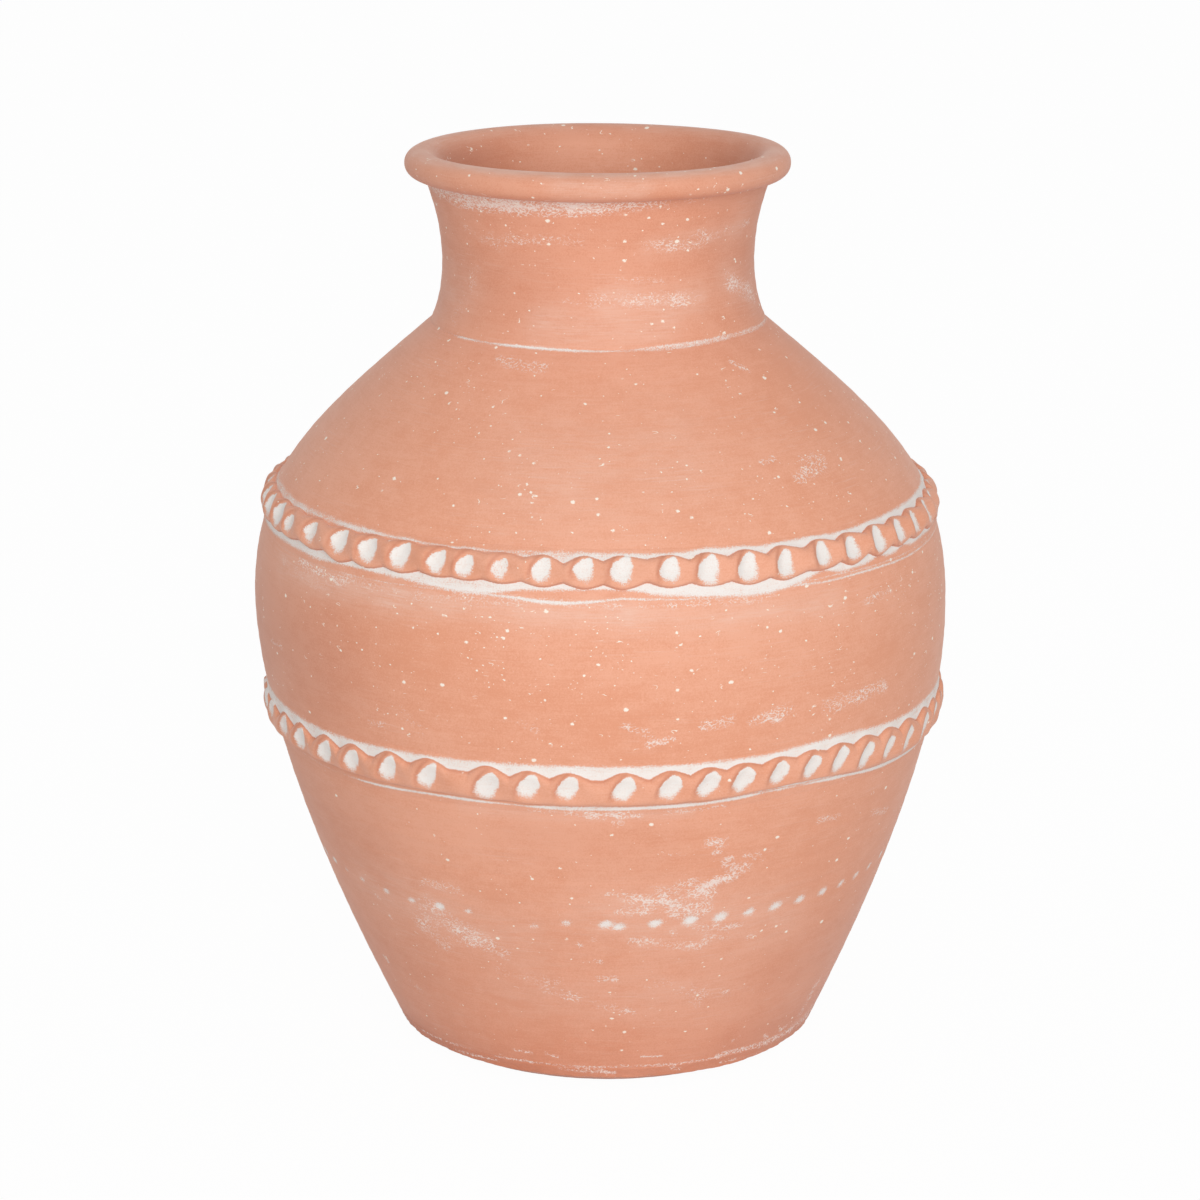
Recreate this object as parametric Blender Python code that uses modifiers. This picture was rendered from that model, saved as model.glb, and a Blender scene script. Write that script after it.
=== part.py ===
"""Terracotta vase: a slab base, three thrown wall sections, a neck collar and a rolled rim.

Two pressed clay cordons cover the seams between the wall sections. Every seam is a ridge in a groove,
the way a potter keys two clay sections before they are pressed together. Lengths are metres, +Z is up,
and the origin is the middle of the underside. Run with blender --background --python part.py, or from
the text editor.
"""

import math
from collections import namedtuple

import bpy

# Heights of the sections, from the underside up
BASE_HEIGHT = 0.010
LOWER_RISE = 0.132
BELLY_RISE = 0.040
UPPER_RISE = 0.0428
SHOULDER_RISE = 0.069
NECK_RISE = 0.0245
LIP_RISE = 0.0327
RIM_HEIGHT = 0.011

# Outer radii, from the underside up; each seam is set in from the belly between them
FOOT_RADIUS = 0.0890
BELLY_RADIUS = 0.1400
LOWER_SEAM_INSET = 0.0043
LOWER_SEAM_RADIUS = BELLY_RADIUS - LOWER_SEAM_INSET
UPPER_SEAM_INSET = 0.0083
UPPER_SEAM_RADIUS = BELLY_RADIUS - UPPER_SEAM_INSET
CROOK_RADIUS = 0.0669
WAIST_RADIUS = 0.0620
LIP_RADIUS = 0.0685

# Leans of the outer wall, as radius gained for each metre of height
FOOT_LEAN = 0.46
LOWER_SEAM_LEAN = 0.21
UPPER_SEAM_LEAN = -0.42
SHOULDER_LEAN = -1.15
COLLAR_LEAN = -0.45
LIP_LEAN = 0.40

# Clay thickness, edges and roundings
WALL = 0.0085
FOOT_EDGE_HEIGHT = 0.0042
FOOT_EDGE_REACH = 0.0080
RIM_OVERHANG = 0.0078
ROLL_REACH = 0.0063
LIP_ROUND = 0.004

# Keyed seams between the sections
SEAM_GAP = 0.0003
KEY_HEIGHT = 0.0018
KEY_WIDTH = 0.0040

# Pressed cordons
PRESS_COUNT = 54
PRESS_DEPTH = 0.0022
PRESS_WIDTH = 0.0090
PRESS_TALL = 0.0085
UPPER_CORDON_HEIGHT = 0.0150
UPPER_CORDON_PROUD = 0.0040
LOWER_CORDON_HEIGHT = 0.0150
LOWER_CORDON_PROUD = 0.0030
CORDON_EDGE = 0.0008
CORDON_PINCH = 0.0035
CORDON_GAP = 0.0003

# Facets: turns, points round a bend, and points up a wall between two of its stations
TURN_STEPS = 48
STEPS_PER_PRESS = 3
ROUND_STEPS = 3
LONG_ROWS = 5
INNER_LONG_ROWS = 3
SHORT_ROWS = 2
INNER_SHORT_ROWS = 1
MERGE_DISTANCE = 0.0001

# The most of a piece's height that its rounding or cut-back edge takes
EDGE_LIMIT = 0.9

# Fired clay, as each piece shows it
TERRACOTTA = (0.72, 0.36, 0.23, 1.0)
BARE_FOOT = (0.66, 0.33, 0.21, 1.0)
PRESSED_CLAY = (0.76, 0.43, 0.30, 1.0)
CLAY_ROUGHNESS = 0.9

Station = namedtuple("Station", "height radius lean")

FOOT = Station(BASE_HEIGHT, FOOT_RADIUS, FOOT_LEAN)
LOWER_SEAM = Station(FOOT.height + LOWER_RISE, LOWER_SEAM_RADIUS, LOWER_SEAM_LEAN)
BELLY = Station(LOWER_SEAM.height + BELLY_RISE, BELLY_RADIUS, 0.0)
UPPER_SEAM = Station(BELLY.height + UPPER_RISE, UPPER_SEAM_RADIUS, UPPER_SEAM_LEAN)
SHOULDER_END = Station(UPPER_SEAM.height + SHOULDER_RISE, CROOK_RADIUS, SHOULDER_LEAN)
COLLAR_START = Station(SHOULDER_END.height, CROOK_RADIUS, COLLAR_LEAN)
WAIST = Station(COLLAR_START.height + NECK_RISE, WAIST_RADIUS, 0.0)
LIP = Station(WAIST.height + LIP_RISE, LIP_RADIUS, LIP_LEAN)


def inside(station, lean):
    """The station of the inner wall that faces an outer one, a wall thickness away from it."""
    slant = math.hypot(1.0, lean)
    radius = station.radius - WALL / slant
    height = station.height + WALL * lean / slant
    return Station(height, radius, lean)


def level_inside(station):
    """The station of the inner wall at the same height as an outer one."""
    radius = station.radius - WALL * math.hypot(1.0, station.lean)
    return Station(station.height, radius, station.lean)


def curve_radius(low, high, height):
    """Radius at a height on the smooth curve that leaves two stations with their own leans."""
    rise = high.height - low.height
    t = (height - low.height) / rise
    start = (1.0 + 2.0 * t) * (1.0 - t) ** 2 * low.radius
    end = t * t * (3.0 - 2.0 * t) * high.radius
    lean_start = t * (1.0 - t) ** 2 * rise * low.lean
    lean_end = t * t * (t - 1.0) * rise * high.lean
    return start + end + lean_start + lean_end


def wall_radius(height):
    """Radius of the outer wall at a height between the foot and the end of the shoulder."""
    stations = (FOOT, LOWER_SEAM, BELLY, UPPER_SEAM, SHOULDER_END)
    for low, high in zip(stations, stations[1:]):
        if height <= high.height:
            return curve_radius(low, high, height)
    return SHOULDER_END.radius


def wall_run(stations, counts):
    """Points (radius, height) up a wall from its first station to its last, without those two."""
    points = []
    for index, count in enumerate(counts):
        low, high = stations[index], stations[index + 1]
        if index > 0:
            points.append((low.radius, low.height))
        for step in range(1, count + 1):
            height = low.height + (high.height - low.height) * step / (count + 1)
            points.append((curve_radius(low, high, height), height))
    return points


def keyed_seam(outer, inner, side):
    """Points (radius, height) of a seam, from the outer wall to the inner one.

    side is -1 for the section below the seam, which carries the ridge, and 1 for the one above it,
    which carries the groove.
    """
    across = (inner.radius - outer.radius, inner.height - outer.height)
    length = math.hypot(*across)
    along = (across[0] / length, across[1] / length)
    up = (along[1], -along[0])
    shift = side * SEAM_GAP / 2.0
    middle = length / 2.0
    stops = (
        (0.0, 0.0),
        (middle - KEY_WIDTH / 2.0, 0.0),
        (middle, KEY_HEIGHT),
        (middle + KEY_WIDTH / 2.0, 0.0),
        (length, 0.0),
    )
    points = []
    for distance, rise in stops:
        radius = outer.radius + along[0] * distance + up[0] * (rise + shift)
        height = outer.height + along[1] * distance + up[1] * (rise + shift)
        points.append((radius, height))
    return points


def arc(centre, reach, rise, first, last, count):
    """Points (radius, height) on an elliptic arc, with angles in degrees from the outward side."""
    points = []
    for step in range(count + 1):
        angle = math.radians(first + (last - first) * step / count)
        radius = centre[0] + reach * math.cos(angle)
        height = centre[1] + rise * math.sin(angle)
        points.append((radius, height))
    return points


def clay(name, colour):
    """A fired clay material."""
    material = bpy.data.materials.new(name)
    material.use_nodes = True
    shader = material.node_tree.nodes["Principled BSDF"]
    shader.inputs["Base Color"].default_value = colour
    shader.inputs["Roughness"].default_value = CLAY_ROUGHNESS
    shader.inputs["Metallic"].default_value = 0.0
    return material


def turned(name, profile, seat, colour, steps=TURN_STEPS, closed=True):
    """An object that turns a profile about Z. The profile runs down its outer side."""
    mesh = bpy.data.meshes.new(name)
    vertices = [(radius, 0.0, height - seat) for radius, height in profile]
    edges = [(index, index + 1) for index in range(len(profile) - 1)]
    if closed:
        edges.append((len(profile) - 1, 0))
    mesh.from_pydata(vertices, edges, [])
    mesh.materials.append(clay(name + "_clay", colour))
    piece = bpy.data.objects.new(name, mesh)
    piece.location.z = seat
    screw = piece.modifiers.new("Turn", "SCREW")
    screw.axis = "Z"
    screw.steps = steps
    screw.render_steps = steps
    screw.use_merge_vertices = True
    screw.merge_threshold = MERGE_DISTANCE
    screw.use_smooth_shade = True
    return piece


def wall_section(name, outer, outer_counts, inner, inner_counts):
    """A turned wall between two keyed seams, from its outer and inner stations."""
    profile = keyed_seam(outer[-1], inner[-1], -1)[::-1]
    profile += wall_run(outer, outer_counts)[::-1]
    profile += keyed_seam(outer[0], inner[0], 1)
    profile += wall_run(inner, inner_counts)
    return turned(name, profile, outer[0].height, TERRACOTTA)


def base_disc():
    """The slab that the pot stands on, with its ridge for the wall and its cut-back lower edge."""
    edge_height = min(FOOT_EDGE_HEIGHT, EDGE_LIMIT * BASE_HEIGHT)
    edge_radius = FOOT.radius - FOOT.lean * (FOOT.height - edge_height)
    seam = keyed_seam(FOOT, level_inside(FOOT), -1)
    profile = [(0.0, seam[-1][1])]
    profile += seam[::-1]
    profile.append((edge_radius, edge_height))
    profile.append((edge_radius - FOOT_EDGE_REACH, 0.0))
    profile.append((0.0, 0.0))
    return turned("base_disc", profile, 0.0, BARE_FOOT, closed=False)


def rim_roll():
    """The rolled rim: rounded outside and overhanging the neck, flat on top, eased at the mouth."""
    seam = keyed_seam(LIP, level_inside(LIP), 1)
    top = LIP.height + RIM_HEIGHT
    middle = LIP.height + RIM_HEIGHT / 2.0
    roll_radius = LIP.radius + RIM_OVERHANG - ROLL_REACH
    lip_round = min(LIP_ROUND, EDGE_LIMIT * RIM_HEIGHT)
    mouth_radius = seam[-1][0] + lip_round
    underside = RIM_HEIGHT / 2.0 - SEAM_GAP / 2.0
    profile = arc((roll_radius, middle), ROLL_REACH, RIM_HEIGHT / 2.0, 90.0, 0.0, ROUND_STEPS)
    profile += arc((roll_radius, middle), ROLL_REACH, underside, 0.0, -90.0, ROUND_STEPS)[1:]
    profile += seam
    profile += arc((mouth_radius, top - lip_round), lip_round, lip_round, 180.0, 90.0, ROUND_STEPS)
    return turned("rim_roll", profile, LIP.height, TERRACOTTA)


def coil_profile(seam, full_height, proud):
    """The plain coil before it is pressed: a low dome outside, and its seat on the wall."""
    half_height = full_height / 2.0
    front = []
    for share in (1.0, 0.5, 0.0, -0.5, -1.0):
        height = seam.height + share * half_height
        dome = (proud - CORDON_EDGE) * math.sqrt(1.0 - share * share)
        front.append((wall_radius(height) + CORDON_GAP + CORDON_EDGE + dome, height))
    seat = []
    for share in (-1.0, 0.0, 1.0):
        height = seam.height + share * half_height
        seat.append((wall_radius(height) + CORDON_GAP, height))
    return front + seat


def press_coil(piece, seam, full_height):
    """Press a turned cordon with a fingertip all round: hollows, with clay pushed up and down."""
    depsgraph = bpy.context.evaluated_depsgraph_get()
    mesh = bpy.data.meshes.new_from_object(piece.evaluated_get(depsgraph))
    half_height = full_height / 2.0
    pitch = 2.0 * math.pi * seam.radius / PRESS_COUNT
    for vertex in mesh.vertices:
        angle = math.atan2(vertex.co.y, vertex.co.x)
        radius = math.hypot(vertex.co.x, vertex.co.y)
        share = vertex.co.z / half_height
        proud = radius - wall_radius(seam.height + vertex.co.z) - CORDON_GAP
        turn = angle / (2.0 * math.pi) * PRESS_COUNT
        offset = turn - round(turn)
        pinch = CORDON_PINCH / 2.0 * math.sin(math.pi * offset) ** 2
        rise = share * (half_height - pinch)
        if proud > CORDON_EDGE / 2.0:
            across = 2.0 * offset * pitch / PRESS_WIDTH
            upward = 2.0 * rise / PRESS_TALL
            proud -= PRESS_DEPTH * math.exp(-across * across - upward * upward)
        radius = wall_radius(seam.height + rise) + CORDON_GAP + proud
        vertex.co = (radius * math.cos(angle), radius * math.sin(angle), rise)
    plain = piece.data
    piece.modifiers.clear()
    piece.data = mesh
    mesh.name = piece.name
    bpy.data.meshes.remove(plain)


def cordon(name, seam, full_height, proud, collection):
    """A clay coil that covers the seam between two wall sections, pressed all round."""
    steps = PRESS_COUNT * STEPS_PER_PRESS
    profile = coil_profile(seam, full_height, proud)
    piece = turned(name, profile, seam.height, PRESSED_CLAY, steps=steps)
    collection.objects.link(piece)
    press_coil(piece, seam, full_height)
    return piece


def main():
    """Clear the scene and build the vase from the underside up."""
    for old in list(bpy.data.objects):
        bpy.data.objects.remove(old)
    collection = bpy.data.collections.new("terracotta_vase")
    bpy.context.scene.collection.children.link(collection)
    axis = bpy.data.objects.new("vase_axis", None)
    collection.objects.link(axis)

    foot_in = level_inside(FOOT)
    lower_in = inside(LOWER_SEAM, LOWER_SEAM.lean)
    belly_in = inside(BELLY, BELLY.lean)
    upper_in = inside(UPPER_SEAM, UPPER_SEAM.lean)
    crook_in = inside(COLLAR_START, (SHOULDER_END.lean + COLLAR_START.lean) / 2.0)
    waist_in = inside(WAIST, WAIST.lean)
    lip_in = level_inside(LIP)

    pieces = [
        base_disc(),
        wall_section(
            "lower_wall",
            (FOOT, LOWER_SEAM),
            (LONG_ROWS,),
            (foot_in, lower_in),
            (INNER_LONG_ROWS,),
        ),
        wall_section(
            "belly_wall",
            (LOWER_SEAM, BELLY, UPPER_SEAM),
            (SHORT_ROWS, SHORT_ROWS),
            (lower_in, belly_in, upper_in),
            (INNER_SHORT_ROWS, INNER_SHORT_ROWS),
        ),
        wall_section(
            "shoulder_wall",
            (UPPER_SEAM, SHOULDER_END),
            (LONG_ROWS,),
            (upper_in, crook_in),
            (INNER_LONG_ROWS,),
        ),
        wall_section(
            "neck_collar",
            (COLLAR_START, WAIST, LIP),
            (SHORT_ROWS, SHORT_ROWS),
            (crook_in, waist_in, lip_in),
            (INNER_SHORT_ROWS, SHORT_ROWS),
        ),
        rim_roll(),
    ]
    for piece in pieces:
        collection.objects.link(piece)
    pieces.append(
        cordon("lower_cordon", LOWER_SEAM, LOWER_CORDON_HEIGHT, LOWER_CORDON_PROUD, collection)
    )
    pieces.append(
        cordon("upper_cordon", UPPER_SEAM, UPPER_CORDON_HEIGHT, UPPER_CORDON_PROUD, collection)
    )
    for piece in pieces:
        piece.parent = axis


main()
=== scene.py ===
"""Dress the terracotta vase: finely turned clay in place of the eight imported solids.

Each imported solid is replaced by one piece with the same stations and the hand-made detail that the
solids leave out: fingertip hollows in the two cordons with white slip in them, slip packed along the
cordons' edges, incised lines, a ring of pricked dots, chalky smears, lime specks and wiping lines.

+Z is up and the front of the vase faces -Y. Sizes are metres in the form of the vase, and
millimetres in the marks on it. Angles round the vase are degrees from the front, positive towards +X.
"""

import logging
import math
from dataclasses import dataclass, field
from enum import Enum
from typing import Any, Callable, ClassVar, Sequence

import bpy
import numpy as np
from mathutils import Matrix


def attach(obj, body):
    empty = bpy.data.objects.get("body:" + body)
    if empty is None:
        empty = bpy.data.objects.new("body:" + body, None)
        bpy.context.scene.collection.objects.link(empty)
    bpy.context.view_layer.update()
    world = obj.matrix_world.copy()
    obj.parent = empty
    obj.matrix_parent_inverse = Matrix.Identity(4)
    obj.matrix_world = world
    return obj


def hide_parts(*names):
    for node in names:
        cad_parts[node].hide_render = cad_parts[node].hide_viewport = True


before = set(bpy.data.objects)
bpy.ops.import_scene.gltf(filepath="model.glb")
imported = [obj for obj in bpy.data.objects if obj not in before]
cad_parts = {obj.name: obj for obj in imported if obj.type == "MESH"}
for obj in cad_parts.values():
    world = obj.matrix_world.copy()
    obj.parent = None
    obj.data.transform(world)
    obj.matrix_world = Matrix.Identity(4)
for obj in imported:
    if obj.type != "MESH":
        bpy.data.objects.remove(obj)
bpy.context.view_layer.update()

LOG = logging.getLogger("terracotta_vase")

Array = np.ndarray
Colour = tuple[float, float, float]
Place = tuple[float, float, float]
Wave = tuple[float, float, float]
Socket = bpy.types.NodeSocket
Sockets = bpy.types.bpy_prop_collection

MM = 0.001
SHARP_ANGLE = math.radians(58.0)
# The dark tint that the painted shade multiplies the clay colour towards.
PAINTED_SHADE_TINT: Colour = (0.62, 0.43, 0.36)


class Slot(Enum):
    """The material slots that the pieces fill."""

    BODY = "body_clay"
    FOOT = "foot_clay"
    RIM = "rim_clay"
    CORDON = "cordon_clay"


class Veil(Enum):
    """What lies on the clay, and the painted shade on it, as mesh attributes that run from 0 for none to 1.
    """

    SLIP = "slip"
    DUST = "dust"
    # Pale bloom; on the rim's top it also carries painted light.
    HAZE = "haze"
    # Painted shade: the clay darkened where less light falls.
    SHADE = "shade"


def hermite(share: Array, span: Array, ends: tuple[Array, Array], slopes: tuple[Array, Array]) -> Array:
    """A cubic that leaves both of its ends with a given slope.

    Args:
        share: How far along the span, from 0 to 1.
        span: The span's length, in the units that the slopes are given for.
        ends: The values at the two ends.
        slopes: The slopes at the two ends.

    Returns:
        The values at the shares.
    """
    start = (1.0 + 2.0 * share) * (1.0 - share) ** 2 * ends[0]
    end = share**2 * (3.0 - 2.0 * share) * ends[1]
    lean_start = share * (1.0 - share) ** 2 * span * slopes[0]
    lean_end = share**2 * (share - 1.0) * span * slopes[1]
    return start + end + lean_start + lean_end


def edge(inside: Array, soft: Array | float) -> Array:
    """1 well inside an edge, 0 well outside it, and a ramp of width 2 * soft across it."""
    return np.clip(0.5 + inside / (2.0 * soft), 0.0, 1.0)


def bell(distance: Array, width: Array | float) -> Array:
    """1 at no distance, fading smoothly to 0 within a few widths on both sides."""
    return np.exp(-((distance / width) ** 2))


def eased(wave: Array, power: float) -> Array:
    """A sine or cosine made fuller by a power under 1, with its sign kept."""
    return np.sign(wave) * np.abs(wave) ** power


def ripple(turn: Array, waves: tuple[Wave, ...], shape: Callable[[Array], Array] = np.cos) -> Array:
    """A sum of waves at some angles in radians, each (height, repeats in a turn, phase in radians)."""
    return sum(height * shape(count * turn + phase) for height, count, phase in waves)


def turn_between(angles: Array, centre: Array | float) -> Array:
    """The signed turn from a centre to each angle, in degrees from -180 to 180."""
    return (angles - centre + 180.0) % 360.0 - 180.0


def unseen_angles(first: float, last: float, pitch: float) -> list[float]:
    """The angles that carry a ring of marks on round the unseen side.

    Args:
        first: The first seen mark's angle, in degrees.
        last: The last seen mark's angle.
        pitch: The pitch to come near to.

    Returns:
        Angles at an even pitch from the last mark round to the first, without these two.
    """
    gap = 360.0 - (last - first)
    count = round(gap / pitch) - 1
    return [last + gap * index / (count + 1) for index in range(1, count + 1)]


@dataclass(frozen=True)
class Station:
    """A ring of the outer wall: its height, its radius and the radius gained for each metre up."""

    height: float
    radius: float
    lean: float

    def inward(self, wall: float, lean: float) -> "Station":
        """The ring of the inner wall that faces this one, with its own lean there."""
        slant = math.hypot(1.0, lean)
        return Station(self.height + wall * lean / slant, self.radius - wall / slant, lean)

    def level(self, wall: float) -> "Station":
        """The ring of the inner wall at this one's own height."""
        return Station(self.height, self.radius - wall * math.hypot(1.0, self.lean), self.lean)


@dataclass(frozen=True)
class WallCurve:
    """A smooth wall through its stations, from the lowest up."""

    stations: tuple[Station, ...]

    def radius(self, heights: Array) -> Array:
        """The wall's radius at some heights.

        Args:
            heights: Heights in metres.

        Returns:
            The radii in metres.
        """
        table = np.array([(ring.height, ring.radius, ring.lean) for ring in self.stations])
        low = np.clip(np.searchsorted(table[:, 0], heights, side="right") - 1, 0, len(table) - 2)
        high = low + 1
        span = table[high, 0] - table[low, 0]
        share = (heights - table[low, 0]) / span
        return hermite(share, span, (table[low, 1], table[high, 1]), (table[low, 2], table[high, 2]))

    def lean(self, heights: Array) -> Array:
        """The radius that the wall gains for each metre up, at some heights."""
        step = 0.1 * MM
        return (self.radius(heights + step) - self.radius(heights - step)) / (2.0 * step)


@dataclass(frozen=True)
class Wander:
    """A value that drifts round the vase through given points, as (degrees, value)."""

    points: tuple[tuple[float, float], ...]

    def at(self, degrees: Array) -> Array:
        """The value at some angles.

        Args:
            degrees: Angles from the front.

        Returns:
            The values there.
        """
        table = np.array(sorted(self.points), dtype=float)
        angles = np.concatenate([table[-2:, 0] - 360.0, table[:, 0], table[:2, 0] + 360.0])
        values = np.concatenate([table[-2:, 1], table[:, 1], table[:2, 1]])
        slopes = np.gradient(values, angles)
        place = (degrees - angles[1]) % 360.0 + angles[1]
        low = np.clip(np.searchsorted(angles, place, side="right") - 1, 0, len(angles) - 2)
        high = low + 1
        span = angles[high] - angles[low]
        share = (place - angles[low]) / span
        return hermite(share, span, (values[low], values[high]), (slopes[low], slopes[high]))

    def value(self, angle: float) -> float:
        """The value at one angle."""
        return float(self.at(np.array([angle]))[0])


def around(*points: tuple[float, float]) -> Wander:
    """A value that drifts through some points, each (degrees, value)."""
    return Wander(points)


def raised(base: float, *points: tuple[float, float]) -> Wander:
    """A height that drifts through some points, each (degrees, millimetres above a base height)."""
    return Wander(tuple((angle, base + rise) for angle, rise in points))


def level(value: float) -> Wander:
    """A value that is the same all round."""
    return around((-180, value), (-60, value), (60, value))


@dataclass(frozen=True)
class Stroke:
    """A smear of chalk between two places on the wall, each given as (degrees, millimetres up)."""

    start: tuple[float, float]
    end: tuple[float, float]
    spread: float
    strength: float

    def amount(self, degrees: Array, heights: Array, radii: Array) -> Array:
        """How much chalk this smear leaves at each point.

        Args:
            degrees: Angles of the points.
            heights: Heights of the points, in millimetres.
            radii: Radii of the points, in millimetres.

        Returns:
            Amounts from 0 to the smear's strength.
        """
        arc = np.radians(1.0) * radii
        across = turn_between(degrees, self.start[0]) * arc
        up = heights - self.start[1]
        run = (self.end[0] - self.start[0]) * arc
        rise = self.end[1] - self.start[1]
        share = np.clip((across * run + up * rise) / (run**2 + rise**2), 0.0, 1.0)
        distance = np.hypot(across - share * run, up - share * rise)
        return self.strength * bell(distance, self.spread)


def smears(*rows: tuple[float, float, float, float, float, float]) -> tuple[Stroke, ...]:
    """Strokes from rows of (start in degrees and millimetres up, end likewise, spread, strength)."""
    return tuple(Stroke(row[:2], row[2:4], *row[4:]) for row in rows)


@dataclass(frozen=True)
class Scribe:
    """A line drawn round the wall, with slip left in it.

    Each point is (degrees, millimetres up, width in millimetres, how full of slip).
    """

    points: tuple[tuple[float, float, float, float], ...]
    depth: float = 0.25
    soft: float = 0.45
    least_width: float = 0.3

    def measure(self, degrees: Array, heights: Array) -> tuple[Array, Array]:
        """The slip in the line and how deep it is cut, at each point.

        Args:
            degrees: Angles of the points.
            heights: Heights of the points, in millimetres.

        Returns:
            The slip from 0 to 1, and the depth in millimetres.
        """
        middle, width, full = (
            Wander(tuple((point[0], point[index]) for point in self.points)).at(degrees)
            for index in (1, 2, 3)
        )
        distance = np.abs(heights - middle)
        slip = edge(width / 2.0 - distance, self.soft) * np.clip(full, 0.0, 1.0)
        cut = self.depth * bell(distance, 0.5 * np.maximum(width, self.least_width))
        return slip, cut * np.clip(full * 2.0, 0.0, 1.0)


@dataclass(frozen=True)
class Band:
    """A band of slip round the wall between two wandering borders, in millimetres up."""

    low: Wander
    high: Wander
    cover_low: Wander
    cover_high: Wander
    soft_low: float = 0.9
    soft_high: float = 0.9
    spill: float = 0.8

    def slip(self, degrees: Array, heights: Array) -> Array:
        """The slip at each point.

        Args:
            degrees: Angles of the points.
            heights: Heights of the points, in millimetres.

        Returns:
            Slip from 0 to 1.
        """
        low = self.low.at(degrees)
        high = self.high.at(degrees)
        share = np.clip((heights - low) / np.maximum(high - low, 0.1), 0.0, 1.0)
        cover = self.cover_low.at(degrees) * (1.0 - share) + self.cover_high.at(degrees) * share
        inside = edge(high + self.spill - heights, self.soft_high)
        inside = inside * edge(heights - low + self.spill, self.soft_low)
        return inside * np.clip(cover, 0.0, 1.0)


@dataclass(frozen=True)
class DotRing:
    """A ring of small pricked dots with slip in them.

    Each dot is (degrees, millimetres up, how full of slip, size).
    """

    height: float = 81.0
    front: tuple[tuple[float, float, float, float], ...] = (
        (-60.8, 81.2, 0.62, 0.66), (-54.4, 81.2, 0.68, 0.74), (-46.8, 80.6, 0.74, 0.8),
        (-39.8, 80.4, 0.78, 0.8), (-32.9, 81.2, 1.05, 0.88), (-26.5, 81.7, 0.74, 0.74),
        (-13.5, 78.7, 0.56, 0.8), (-7.2, 81, 0.72, 0.9), (0.2, 80.8, 0.95, 1.1), (2.6, 79.6, 0.95, 1),
        (9.4, 80.6, 0.98, 1.05), (16, 80.7, 1, 1.2), (22, 80.6, 1, 1.15), (28.1, 80.7, 0.88, 1),
        (34, 80.8, 0.92, 1.1), (40.1, 80.9, 0.88, 1), (46.3, 81, 0.85, 1), (52.1, 81, 0.8, 0.9),
        (57.6, 81, 0.76, 0.85), (63.5, 81.1, 0.74, 0.85),
    )  # fmt: skip
    pitch: float = 6.55
    wander: float = 0.5
    half_width: float = 2.75
    half_height: float = 1.85
    tilt: float = 14.0
    depth: float = 0.35
    soft: float = 1.3
    seed: int = 11

    def dots(self) -> list[tuple[float, float, float, float]]:
        """Every dot, the unseen ones at an even pitch with a little wander."""
        rng = np.random.default_rng(self.seed)
        dots = list(self.front)
        for even in unseen_angles(self.front[0][0], self.front[-1][0], self.pitch):
            angle = even + rng.normal(0.0, self.wander)
            height = self.height + rng.normal(0.0, self.wander)
            dots.append((angle, height, 0.7 + 0.3 * rng.random(), 0.85 + 0.3 * rng.random()))
        return dots

    def measure(self, degrees: Array, heights: Array, radii: Array) -> tuple[Array, Array]:
        """The slip in the dots and how deep they are pricked, at each point.

        Args:
            degrees: Angles of the points.
            heights: Heights of the points, in millimetres.
            radii: Radii of the points, in millimetres.

        Returns:
            The slip from 0 to 1, and the depth in millimetres.
        """
        slip = np.zeros(np.broadcast_shapes(degrees.shape, heights.shape))
        cut = np.zeros_like(slip)
        tilt = math.radians(self.tilt)
        for angle, height, full, size in self.dots():
            across = turn_between(degrees, angle) * np.radians(1.0) * radii
            up = heights - height
            along = across * math.cos(tilt) + up * math.sin(tilt)
            over = up * math.cos(tilt) - across * math.sin(tilt)
            reach = np.hypot(along / self.half_width, over / self.half_height) / size
            slip = np.maximum(slip, edge((1.0 - reach) * self.half_height, self.soft) * full)
            cut = np.maximum(cut, self.depth * bell(reach, 1.0))
        return slip, cut


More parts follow.
